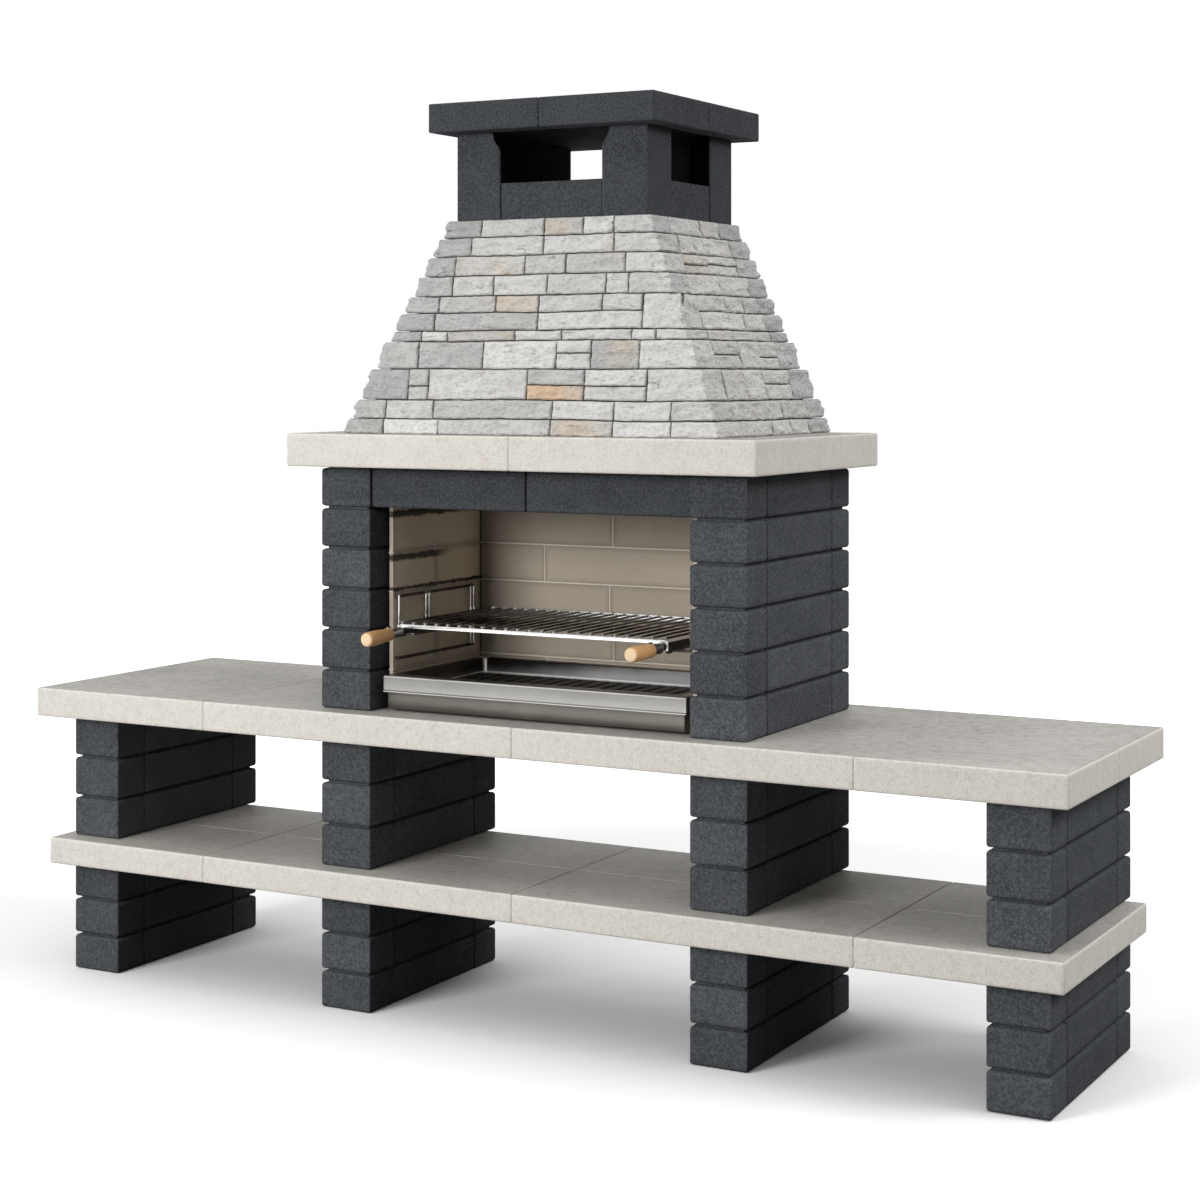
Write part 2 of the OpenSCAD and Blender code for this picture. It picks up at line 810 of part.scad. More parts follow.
module ember_tray() {
    rim_z = tray_z + tray_h;
    basin_y = tray_y + sheet_t;
    color(steel_colour)
        place()
            difference() {
                union() {
                    box([-tray_front_half_w, tray_y, tray_z], [tray_front_half_w, basin_y, rim_z]);
                    box([-basin_half_w - sheet_t, tray_y, tray_z],
                        [basin_half_w + sheet_t, tray_back_y - tray_flange, rim_z]);
                    box([-tray_front_half_w, tray_y, rim_z - sheet_t],
                        [tray_front_half_w, lining_front_y - tray_clear, rim_z]);
                    box([-tray_half_w, tray_y, rim_z - sheet_t], [tray_half_w, tray_back_y, rim_z]);
                }
                box([-basin_half_w, basin_y, tray_z + sheet_t],
                    [basin_half_w, tray_back_y - tray_flange - sheet_t, rim_z + past]);
            }
}

module charcoal_grate() {
    half_w = basin_half_w - coal_clear;
    y0 = tray_y + sheet_t + coal_clear;
    y1 = tray_back_y - tray_flange - sheet_t - coal_back;
    pitch = (2 * half_w - coal_bar_w) / (coal_bars - 1);
    color(black_colour)
        place()
            union() {
                for (y = [y0 + coal_clear, (y0 + y1 - coal_bar_w) / 2, y1 - coal_clear - coal_bar_w])
                    box([-half_w, y, coal_grate_z],
                        [half_w, y + coal_bar_w, coal_grate_z + coal_bar_h]);
                for (i = [0:coal_bars - 1])
                    box([-half_w + i * pitch, y0, coal_grate_z + coal_bar_h - weld],
                        [-half_w + i * pitch + coal_bar_w, y1, coal_grate_z + 2 * coal_bar_h - weld]);
            }
}

// Wire rack on the lining: two rails, uprights and hooks, and a rail that carries the grill

module rack(side) {
    low_z = work_z + rack_low;
    high_z = work_z + rack_top;
    back_y = rack_y + rack_l;
    pair_y = rack_y + rack_pair;
    // Distance between the two wires of a pair, and of the first wire from an end of the rack
    pair = wire_d * 2;
    foot_y = wire_d;
    color(chrome_colour)
        place()
            on_side(side)
                union() {
                    for (z = [low_z, high_z])
                        bar_y(rack_y, back_y, rack_x, z, wire_d);
                    bar_y(rack_y, back_y, side_bar_x, rail_z, wire_d);
                    for (y = [back_y - foot_y - pair, back_y - foot_y])
                        bar_z(low_z, high_z, rack_x, y, wire_d);
                    for (y = [rack_y + foot_y, pair_y, pair_y + pair])
                        bar_z(rail_z, high_z, rack_x, y, wire_d);
                    for (y = [rack_y + foot_y, pair_y, back_y - foot_y])
                        bar_x(side_bar_x, rack_x, y, rail_z, wire_d);
                    for (y = [rack_y + foot_y, back_y - foot_y], z = [low_z, high_z])
                        bar_x(rack_x, lining_face_x, y, z, wire_d);
                }
}

// Grill: rods on a front and a back bar, and two side bars that run on the racks

module grill() {
    back_y = grill_y + grill_depth;
    pitch = (2 * grill_half_w - 2 * rod_d) / (grill_rods - 1);
    color(chrome_colour)
        place()
            union() {
                for (y = [grill_y, back_y - bar_t])
                    box([-grill_half_w, y, bar_z], [grill_half_w, y + bar_t, bar_z + bar_h]);
                for (i = [0:grill_rods - 1])
                    bar_y(grill_y - rod_over, back_y + rod_over, -grill_half_w + rod_d + i * pitch,
                        rod_z, rod_d);
                for (side = [-1, 1])
                    box([side * side_bar_x - bar_t / 2, ferrule_y, side_bar_z],
                        [side * side_bar_x + bar_t / 2, back_y, side_bar_z + side_bar_h]);
            }
}

// Turned wooden handle with its steel ferrule, on the front end of a side bar

module handle(side) {
    r = handle_d / 2;
    waist_r = waist_d / 2;
    ferrule_r = ferrule_d / 2;
    wood_y = ferrule_l + handle_edge;
    color(wood_colour)
        place()
            on_side(side)
                translate([side_bar_x, ferrule_y, side_bar_z + side_bar_h / 2])
                    rotate([90, 0, 0])
                        rotate_extrude($fn = handle_sides)
                            polygon([
                                [0, 0], [ferrule_r - handle_edge, 0], [ferrule_r, ferrule_l],
                                [waist_r, ferrule_l], [(waist_r + r) / 2, wood_y],
                                [(waist_r + r) / 2, wood_y + waist_l / 3],
                                [waist_r, wood_y + 2 * waist_l / 3], [r, wood_y + waist_l],
                                [r, ferrule_l + handle_l - handle_edge],
                                [r - handle_edge, ferrule_l + handle_l],
                                [0, ferrule_l + handle_l]]);
}

pier_lower(0);  // pier_1_lower
pier_lower(1);  // pier_2_lower
pier_lower(2);  // pier_3_lower
pier_lower(3);  // pier_4_lower
pier_upper(0);  // pier_1_upper
pier_upper(1);  // pier_2_upper
pier_upper(2);  // pier_3_upper
pier_upper(3);  // pier_4_upper
shelf_slab(0, false);  // shelf_1_front
shelf_slab(1, false);  // shelf_2_front
shelf_slab(2, false);  // shelf_3_front
shelf_slab(3, false);  // shelf_4_front
shelf_slab(0, true);  // shelf_1_back
shelf_slab(1, true);  // shelf_2_back
shelf_slab(2, true);  // shelf_3_back
shelf_slab(3, true);  // shelf_4_back
worktop_slab(0, false);  // worktop_1_front
worktop_slab(1, false);  // worktop_2_front
worktop_slab(2, false);  // worktop_3_front
worktop_slab(3, false);  // worktop_4_front
worktop_slab(0, true);  // worktop_1_back
worktop_slab(1, true);  // worktop_2_back
worktop_slab(2, true);  // worktop_3_back
worktop_slab(3, true);  // worktop_4_back
pillar(1);  // pillar_left
pillar(2);  // pillar_right
lintel();
rear_wall();
lining_side(-1);  // lining_left
lining_side(1);  // lining_right
lining_back();
mantel_slab(-1, false);  // mantel_front_left
mantel_slab(1, false);  // mantel_front_right
mantel_slab(-1, true);  // mantel_back_left
mantel_slab(1, true);  // mantel_back_right
hood_shell();
cladding_across(false);  // cladding_front
cladding_across(true);  // cladding_back
cladding_side(-1);  // cladding_left
cladding_side(1);  // cladding_right
post(-1, false);  // post_front_left
post(1, false);  // post_front_right
post(-1, true);  // post_back_left
post(1, true);  // post_back_right
panel_across(false);  // panel_front
panel_across(true);  // panel_back
panel_side(-1);  // panel_left
panel_side(1);  // panel_right
cap_slab(-1, false);  // cap_front_left
cap_slab(1, false);  // cap_front_right
cap_slab(-1, true);  // cap_back_left
cap_slab(1, true);  // cap_back_right
tray_base();
ember_tray();
charcoal_grate();
rack(-1);  // rack_left
rack(1);  // rack_right
grill();
handle(-1);  // handle_left
handle(1);  // handle_right
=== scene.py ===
"""Dresses the masonry barbecue: cast blocks, cream slabs, firebrick, split stone,
chrome grill, steel ember tray and wooden handles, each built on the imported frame.
Metres throughout, in the frame's own axes: +X along the front, +Y to the back, +Z up."""

import json
import math
import random

import bmesh
import bpy
from mathutils import Matrix, Vector, noise


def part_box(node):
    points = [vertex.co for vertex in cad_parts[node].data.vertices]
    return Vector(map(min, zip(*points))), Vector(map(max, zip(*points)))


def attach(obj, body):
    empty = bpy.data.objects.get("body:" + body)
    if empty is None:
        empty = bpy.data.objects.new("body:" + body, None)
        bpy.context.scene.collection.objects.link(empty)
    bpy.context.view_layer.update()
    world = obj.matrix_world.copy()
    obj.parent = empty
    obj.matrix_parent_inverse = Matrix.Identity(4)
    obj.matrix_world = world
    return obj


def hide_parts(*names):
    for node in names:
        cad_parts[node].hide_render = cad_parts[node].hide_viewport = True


bl_info = {
    "name": "Masonry Barbecue",
    "version": (1, 0, 0),
    "blender": (4, 5, 0),
    "location": "View3D > Sidebar > Barbecue",
    "description": "Builds the blocks, slabs, stones, grill and tray of a masonry barbecue",
    "category": "Add Mesh",
}

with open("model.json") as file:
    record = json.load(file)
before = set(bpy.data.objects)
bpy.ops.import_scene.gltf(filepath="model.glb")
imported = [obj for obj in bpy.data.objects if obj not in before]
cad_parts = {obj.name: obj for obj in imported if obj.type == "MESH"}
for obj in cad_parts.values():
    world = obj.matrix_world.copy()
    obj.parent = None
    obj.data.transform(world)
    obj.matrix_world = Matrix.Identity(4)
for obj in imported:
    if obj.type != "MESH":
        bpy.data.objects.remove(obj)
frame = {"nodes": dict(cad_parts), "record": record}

SIDES = ("front", "right", "back", "left")
HANDS = (("left", -1), ("right", 1))

# Vertices this close are one, and two merged triangles this close to level are one face
SAME_PLACE = 1e-5
SAME_PLANE = math.radians(0.8)
# Edges shorter than this are none
NO_LENGTH = 1e-6
# Smooth shading stops at edges sharper than this, and a dressed copy's edges over RIDGE are rounded
SHARP = math.radians(42)
RIDGE = math.radians(24)


def corners(*nodes):
    """Lowest and highest corner of some CAD nodes together, as vectors."""
    boxes = [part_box(node) for node in nodes]
    low = Vector(min(box[0][axis] for box in boxes) for axis in range(3))
    high = Vector(max(box[1][axis] for box in boxes) for axis in range(3))
    return low, high


# The middle of the firebox in plan, which the sizes below are measured from
PILLARS_LOW, PILLARS_HIGH = corners("pillar_left", "pillar_right")
MIDDLE = Vector(((PILLARS_LOW.x + PILLARS_HIGH.x) / 2, (PILLARS_LOW.y + PILLARS_HIGH.y) / 2, 0.0))


def at(x, y, z):
    """A point given in millimetres about the firebox, in the frame's metres."""
    return MIDDLE + Vector((x, y, z)) * 0.001


# Sizes and colours that a user would change


def length(name, description, default, low=0.0, high=100.0):
    return bpy.props.FloatProperty(
        name=name, description=description, default=default, min=low, max=high, unit="LENGTH")


def angle(name, description, default):
    return bpy.props.FloatProperty(
        name=name, description=description, default=default, subtype="ANGLE")


def share(name, description, default, low=0.0):
    return bpy.props.FloatProperty(
        name=name, description=description, default=default, min=low, max=1.0, subtype="FACTOR")


def strength(name, description, default, unit="NONE"):
    return bpy.props.FloatProperty(
        name=name, description=description, default=default, min=0.0, unit=unit)


def count(name, description, default, low=0):
    return bpy.props.IntProperty(name=name, description=description, default=default, min=low)


def colour_of(name, description, default):
    return bpy.props.FloatVectorProperty(
        name=name, description="Colour of " + description, default=default, size=3,
        subtype="COLOR")


class BarbecueBlocks(bpy.types.PropertyGroup):
    """Cast blocks of the piers, pillars, lintel, collar and cap."""

    rounding: length("Rounding", "Radius of a block's level edges", 0.0085, 0.001, 0.02)
    sharpness: share("Sharpness", "Rounding of the upright edges as a share of the level ones'",
                     0.34, 0.1)
    joint: length("Joint", "Gap between two blocks of a course", 0.004, 0.0005, 0.01)
    bed: length("Bed", "Gap between two courses", 0.006, 0.001, 0.01)
    end_length: length("End block", "Length of the first and last block of a row", 0.12, 0.05)
    face_colour: colour_of("Face", "the cast faces", (0.0355, 0.0388, 0.044))
    grain_colour: colour_of("Grain", "the pale grains", (0.142, 0.150, 0.162))
    seed: count("Seed", "Seed of the differences from block to block", 4)


class BarbecueSlabs(bpy.types.PropertyGroup):
    """Cast slabs of the shelf, worktop and mantel."""

    rounding: length("Rounding", "Radius of the edges in the seams", 0.001, 0.0005, 0.003)
    outside: length("Outside", "Radius of the edges round a whole table", 0.005, 0.001, 0.012)
    side_colour: colour_of("Side", "the edges of a slab", (0.785, 0.74, 0.665))
    top_colour: colour_of("Top", "the worn upper face", (0.318, 0.302, 0.277))
    speck_colour: colour_of("Specks", "the dark specks", (0.30, 0.25, 0.20))


class BarbecueBricks(bpy.types.PropertyGroup):
    """Firebrick lining."""

    course: length("Course", "Height of a firebrick with its joint", 0.107, 0.05)
    joint: length("Joint", "Width of a mortar joint", 0.005, 0.002)
    brick_colour: colour_of("Brick", "clean firebrick", (0.49, 0.43, 0.35))
    mortar_colour: colour_of("Mortar", "the mortar", (0.80, 0.74, 0.64))
    soot: share("Soot", "How much soot lies in the joints", 1.0)


class BarbecueStones(bpy.types.PropertyGroup):
    """Split stones of the hood."""

    relief: length("Relief", "Height of the split faces' relief", 0.0065, 0.0, 0.01)
    stand: length("Stand", "How far the stones stand out of the hood's plane", 0.005)
    joint: length("Joint", "Gap between two stones", 0.0022, 0.001)
    pale_colour: colour_of("Pale", "the palest stones", (0.74, 0.73, 0.71))
    grey_colour: colour_of("Grey", "the darkest stones", (0.40, 0.40, 0.395))
    warm_colour: colour_of("Warm", "the tan stones", (0.60, 0.515, 0.41))
    seed: count("Seed", "Seed of the unseen sides' layout", 11)


class BarbecueGrill(bpy.types.PropertyGroup):
    """Cooking grill, its racks and its handles."""

    rods: count("Rods", "Rods across the grill", 23, 3)
    rod_diameter: length("Rod", "Diameter of a rod", 0.006, 0.002)
    wire_diameter: length("Wire", "Diameter of the racks' wire", 0.008, 0.002)
    rack_stand: length("Stand", "Distance of the racks' wire from the lining", 0.004, 0.001)
    rack_pair: length("Pair", "Distance of the middle wires from the racks' front", 0.144, 0.05)
    left_tilt: angle("Left tilt", "How far the left handle points down", math.radians(2.2))
    right_tilt: angle("Right tilt", "How far the right handle points down", math.radians(0.2))
    socket: length("Socket", "Length of the steel socket that holds a handle", 0.047, 0.02)
    wood_colour: colour_of("Wood", "the handles", (0.79, 0.44, 0.19))


class BarbecueTray(bpy.types.PropertyGroup):
    """Ember tray, its base and the charcoal grate."""

    sheet: length("Sheet", "Thickness of the tray's sheet", 0.0015, 0.0008)
    grate_bars: count("Bars", "Bars of the charcoal grate", 19, 3)
    steel_colour: colour_of("Steel", "the brushed steel", (0.30, 0.295, 0.286))


class BarbecueStage(bpy.types.PropertyGroup):
    """Camera, floor and lamps."""

    lens: bpy.props.FloatProperty(
        name="Lens", description="Focal length in millimetres", default=69.77, min=10.0)
    heading: angle("Heading", "Turn of the camera to the left", 0.4989)
    key: strength("Key", "Power of the lamp in front", 325.0, "POWER")
    fill: strength("Fill", "Power of the lamp on the right", 196.0, "POWER")
    overhead: strength("Overhead", "Strength of the light from above", 1.0)
    horizon: strength("Horizon", "Strength of the light from all round", 0.04)


SETTINGS = {
    "barbecue_blocks": BarbecueBlocks,
    "barbecue_slabs": BarbecueSlabs,
    "barbecue_bricks": BarbecueBricks,
    "barbecue_stones": BarbecueStones,
    "barbecue_grill": BarbecueGrill,
    "barbecue_tray": BarbecueTray,
    "barbecue_stage": BarbecueStage,
}


# Node trees


def worked(operation, swapped=False):
    """A method of Out for one sign of arithmetic."""

    def method(self, other):
        return self.math(operation, *((other, self) if swapped else (self, other)))

    return method


class Out:
    """An output of a node, which takes part in sums and products as a number does."""

    def __init__(self, tree, node, output):
        self.tree, self.node, self.socket = tree, node, node.outputs[output]

    def output(self, name):
        return Out(self.tree, self.node, name)

    def math(self, operation, *values):
        return self.tree.add("ShaderNodeMath", {"operation": operation}, values)

    def absolute(self):
        return self.math("ABSOLUTE", self)

    __add__ = __radd__ = worked("ADD")
    __mul__ = __rmul__ = worked("MULTIPLY")
    __sub__, __rsub__ = worked("SUBTRACT"), worked("SUBTRACT", True)
    __truediv__, __rtruediv__ = worked("DIVIDE"), worked("DIVIDE", True)


class Tree:
    """A node tree under construction. Nodes are added with their settings, then their inputs."""

    def __init__(self, group):
        self.group, self.nodes, self.links = group, group.nodes, group.links

    def feed(self, node, key, value):
        socket = node.inputs[key]
        if isinstance(value, Out):
            self.links.new(value.socket, socket)
        else:
            socket.default_value = value

    def add(self, kind, settings=None, inputs=(), output=0):
        node = self.nodes.new(kind)
        for name, value in (settings or {}).items():
            setattr(node, name, value)
        for key, value in inputs.items() if isinstance(inputs, dict) else enumerate(inputs):
            self.feed(node, key, value)
        return Out(self, node, output)

    def parts(self, vector, name="X"):
        """A part of a vector, X, Y or Z. Its method output gives the others."""
        return self.add("ShaderNodeSeparateXYZ", None, (vector,), name)

    def vector(self, x=0.0, y=0.0, z=0.0):
        return self.add("ShaderNodeCombineXYZ", None, (x, y, z))

    def vector_math(self, operation, *values, output=0):
        return self.add("ShaderNodeVectorMath", {"operation": operation}, values, output)

    # Shading

    def place(self):
        return self.add("ShaderNodeTexCoord", output="Object")

    def attribute(self, name):
        return self.add("ShaderNodeAttribute", {"attribute_name": name}, output="Fac")

    def stretched(self, vector, scale):
        return self.add("ShaderNodeMapping", None, {"Vector": vector, "Scale": scale})

    def noise(self, vector, scale, detail=2.0, roughness=0.5, distortion=0.0):
        return self.add("ShaderNodeTexNoise", None, {
            "Vector": vector, "Scale": scale, "Detail": detail, "Roughness": roughness,
            "Distortion": distortion})

    def cells(self, vector, scale):
        return self.add("ShaderNodeTexVoronoi", None, {"Vector": vector, "Scale": scale})

    def between(self, value, low, high, to_low=0.0, to_high=1.0):
        """value from low to high, eased into to_low to to_high and held there beyond."""
        return self.add("ShaderNodeMapRange", {"interpolation_type": "SMOOTHSTEP"}, {
            "Value": value, "From Min": low, "From Max": high, "To Min": to_low,
            "To Max": to_high})

    def below(self, value, low, high):
        """1 where value is under low, 0 where it is over high, eased between."""
        return self.between(value, low, high, 1.0, 0.0)

    def clamped(self, value):
        return self.add("ShaderNodeClamp", None, {"Value": value})

    def mix(self, factor, first, second, blend="MIX"):
        first, second = [value if isinstance(value, Out) else (*value, 1.0)
                         for value in (first, second)]
        return self.add("ShaderNodeMix", {"data_type": "RGBA", "blend_type": blend}, {
            0: factor, 6: first, 7: second}, 2)

    def shade(self, colour, factor):
        """colour made darker or lighter by a number."""
        return self.mix(1.0, colour, self.vector(factor, factor, factor), "MULTIPLY")

    def surface(self, colour, rough, height, distance, strength, **more):
        """What a finish gives the shader. height is the bump's, in steps of distance."""
        bump = self.add("ShaderNodeBump", None, {
            "Height": height, "Distance": distance, "Strength": strength})
        named = {name.replace("_", " "): value for name, value in more.items()}
        return {"Base Color": colour, "Roughness": rough, "Normal": bump, **named}

    # Geometry

    def sockets(self, wanted):
        """Makes the tree's own inputs, and gives them back by name."""
        for name, (kind, value) in wanted.items():
            socket = self.group.interface.new_socket(
                name=name, in_out="INPUT", socket_type="NodeSocket" + kind)
            if value is not None:
                socket.default_value = value
        self.group.interface.new_socket(
            name="Geometry", in_out="OUTPUT", socket_type="NodeSocketGeometry")
        node = self.nodes.new("NodeGroupInput")
        return {name: Out(self, node, name) for name in wanted}

    def stored(self, geometry, domain, name, value):
        return self.add("GeometryNodeStoreNamedAttribute", {
            "data_type": "FLOAT", "domain": domain}, {
                "Geometry": geometry, "Name": name, "Value": value})

    def scaled(self, vector, factor):
        return self.add("ShaderNodeVectorMath", {"operation": "SCALE"}, {
            "Vector": vector, "Scale": factor})

    def total(self, first, *others):
        for other in others:
            first = self.vector_math("ADD", first, other)
        return first

    def joined(self, *parts):
        node = self.nodes.new("GeometryNodeJoinGeometry")
        for part in reversed(parts):
            self.links.new(part.socket, node.inputs[0])
        return Out(self, node, 0)

    def line(self, count, first, step):
        """count points from first on, one step apart."""
        return self.add("GeometryNodeMeshLine", {"mode": "OFFSET", "count_mode": "TOTAL"}, {
            "Count": count, "Start Location": first, "Offset": step})

    def copies(self, points, shape, scale=(1.0, 1.0, 1.0)):
        return self.add("GeometryNodeInstanceOnPoints", None, {
            "Points": points, "Instance": shape, "Scale": scale})

    def end(self, geometry, material):
        """Ends a tree as every one here ends: real meshes, smooth, with a material."""
        real = self.add("GeometryNodeRealizeInstances", None, {"Geometry": geometry})
        smooth = self.add("GeometryNodeSetShadeSmooth", None, {"Geometry": real})
        dressed = self.add("GeometryNodeSetMaterial", None, {
            "Geometry": smooth, "Material": material})
        self.links.new(dressed.socket, self.nodes.new("NodeGroupOutput").inputs[0])


# Finishes


def finish(name, recipe=None):
    """The finish of that name, made by its recipe at its first use."""
    named = "finish_" + name
    material = bpy.data.materials.get(named)
    if material is None:
        material = bpy.data.materials.new(named)
        material.use_nodes = True
        shader = material.node_tree.nodes["Principled BSDF"]
        tree = Tree(material.node_tree)
        for key, value in (recipe or RECIPES[name])(tree).items():
            tree.feed(shader, key, value)
    return material


def block_finish(tree):
    """Fine-grained anthracite cast concrete, paler where worn, darker up at the collar, with
    painted shadow under the mantel, and soot and painted shade inside the collar.
    """
    blocks = bpy.context.scene.barbecue_blocks
    place = tree.place()
    grain = tree.noise(place, 170.0, 4.0, 0.75)
    fine = tree.noise(place, 520.0, 2.0, 0.6)
    clouds = tree.noise(place, 11.0, 4.0, 0.62)
    pits = tree.between(tree.cells(place, 110.0), 0.05, 0.25)
    pale = tree.between(grain + fine * 0.3, 0.56, 0.82)
    colour = tree.mix(pale * 0.85, blocks.face_colour, blocks.grain_colour)
    worn = tree.between(grain * 0.6 + clouds * 0.25, 0.17, 0.45)
    colour = tree.mix(worn * 0.35, colour, blocks.grain_colour)
    high = tree.parts(place, "Z")
    # Painted shadow: the blocks just under the mantel are darkened where its shade falls. The
    # blocks up at the collar are darker too
    painted_mantel_shadow = tree.between(high, 1.365, 1.41) * tree.below(high, 1.52, 1.56)
    collar_dark_and_mantel_shadow = tree.between(high, 2.05, 2.2) * 0.24 + painted_mantel_shadow * 0.2
    tone = 0.72 + clouds * 0.34 + tree.attribute("tone") * 0.14 + pits * 0.14
    colour = tree.shade(colour, tone * (1.0 - collar_dark_and_mantel_shadow))
    # Soot and painted shade: faces inside the collar go near black
    colour = tree.mix(inside_collar(tree, place) * 0.97, colour, (0.003, 0.003, 0.003))
    return tree.surface(colour, tree.between(grain, 0.3, 0.7, 0.75, 0.95),
                        grain * 0.7 + fine * 0.3 + pits * 0.6, 0.0022, 0.8, Specular_IOR_Level=0.03)


def inside_collar(tree, place):
    """1 on faces within the chimney collar's outer faces, which are painted near black: soot, and
    painted shade in the collar's recesses.
    """
    low, high = corners("post_front_left", "post_back_right")
    parts = tree.parts(place)
    mask = 1.0
    for axis, name in enumerate("XYZ"):
        middle, half = (low[axis] + high[axis]) / 2, (high[axis] - low[axis]) / 2
        skin = 0.001 if name == "Z" else -0.006
        away = (parts.output(name) - middle).absolute()
        mask = tree.below(away, half + skin, half + skin + 0.002) * mask
    return mask


def slab_finish(tree):
    """Cream cast stone with fine dark and rosy specks, greyer and brushed on top."""
    slabs = bpy.context.scene.barbecue_slabs
    place = tree.place()
    grain = tree.noise(place, 170.0, 3.0, 0.7)
    clouds = tree.noise(place, 5.5, 5.0, 0.6)
    blotch = tree.noise(place, 38.0, 4.0, 0.65)
    brushed = tree.noise(tree.stretched(place, (0.35, 1.0, 1.0)), 95.0, 4.0, 0.7, 0.6)
    worn = tree.between(tree.noise(place, 2.4, 3.0, 0.5), 0.35, 0.65)
    top = tree.attribute("top")
    parts = tree.parts(place)
    # Painted light: tops are lighter towards the front, and on the shelf
    lighter = (tree.between(parts.output("Y"), -0.36, -0.12, 0.3, 0.0)
               + tree.between(parts.output("Z"), 0.5, 0.6, 0.27, 0.0))
    colour = tree.mix(top, slabs.side_colour, slabs.top_colour)
    colour = tree.shade(colour, 1.0 + top * (worn * 0.4 - 0.24 + lighter))
    grainy = tree.between(grain, 0.3, 0.7)
    colour = tree.shade(colour, 0.67 + clouds * 0.18 + blotch * 0.14 + grainy * 0.24)
    specks = tree.below(tree.cells(place, 105.0) + grain * 0.22, 0.2, 0.32)
    colour = tree.mix(specks * 0.5, colour, slabs.speck_colour)
    rosy = tree.below(tree.cells(place, 61.0) + blotch * 0.2, 0.26, 0.42)
    colour = tree.mix(rosy * 0.4, colour, (0.60, 0.47, 0.40))
    streaks = tree.between(brushed, 0.42, 0.68)
    colour = tree.mix(top * streaks * 0.3, colour, (0.50, 0.485, 0.455))
    chipped = tree.between(blotch, 0.2, 0.6)
    colour = tree.mix(chipped * (0.42 - top * 0.16), colour, (0.84, 0.82, 0.77))
    height = grain * 0.5 + blotch * 0.35 + top * brushed * 0.7 - specks * 0.5
    return tree.surface(colour, tree.between(top * 0.6 + grain * 0.4, 0.2, 0.9, 0.78, 0.58),
                        height, 0.001, 0.6, Specular_IOR_Level=0.45)


SOOT = (0.018, 0.016, 0.015)


def brick_finish(tree):
    """Dry pressed firebrick, with soot in its joints and in the back corners, and painted shade
    round each brick's rim.
    """
    place = tree.place()
    grain = tree.noise(place, 240.0, 3.0, 0.65)
    clouds = tree.noise(place, 9.0, 4.0, 0.6)
    # tone carries each brick's own random tone, and painted light on the side linings
    tone = 0.68 + clouds * 0.24 + grain * 0.34 + tree.attribute("tone") * 0.10
    colour = tree.shade(bpy.context.scene.barbecue_bricks.brick_colour, tone)
    # Painted shade: each brick is darkened round its rim, beside the mortar beads
    colour = tree.mix(tree.attribute("edge") * 0.5, colour, (0.24, 0.19, 0.14))
    colour = tree.mix(soot_mask(tree, place), colour, SOOT)
    return tree.surface(colour, 0.9, grain + clouds * 0.5, 0.0008, 0.6, Specular_IOR_Level=0.3)


def mortar_finish(tree):
    """Pale mortar pressed out of the joints, sooty where the smoke passes."""
    place = tree.place()
    grain = tree.noise(place, 320.0, 3.0, 0.7)
    colour = tree.shade(bpy.context.scene.barbecue_bricks.mortar_colour, 0.82 + grain * 0.32)
    colour = tree.mix(soot_mask(tree, place), colour, SOOT)
    return tree.surface(colour, 0.92, grain, 0.001, 0.7, Specular_IOR_Level=0.3)


def soot_mask(tree, place):
    """1 where soot lies: smears under the side linings' joints, and a haze at the back."""
    parts = tree.parts(place)
    along, up = parts.output("Y"), parts.output("Z")
    aside = tree.between((parts - MIDDLE.x).absolute(), 0.452, 0.4545)
    ragged = tree.noise(tree.stretched(place, (1.0, 1.0, 3.0)), 42.0, 4.0, 0.7)
    front = tree.below(along, at(0, -60, 0).y, at(0, 60, 0).y)
    mask = 0.0
    for height, reach, half in ((1.357, 1.0, 0.011), (1.236, front, 0.010), (1.150, 1.0, 0.005)):
        away = (up - height + (ragged - 0.5) * 0.018).absolute()
        mask = tree.below(away, half * 0.5, half * 1.3) * reach + mask
    haze = tree.between(along, at(0, 60, 0).y, at(0, 215, 0).y, 0.0, 0.18)
    mask = aside * (mask + haze * tree.between(up, 0.9, 1.5, 0.6, 1.0))
    return tree.clamped(mask * (0.9 * bpy.context.scene.barbecue_bricks.soot))


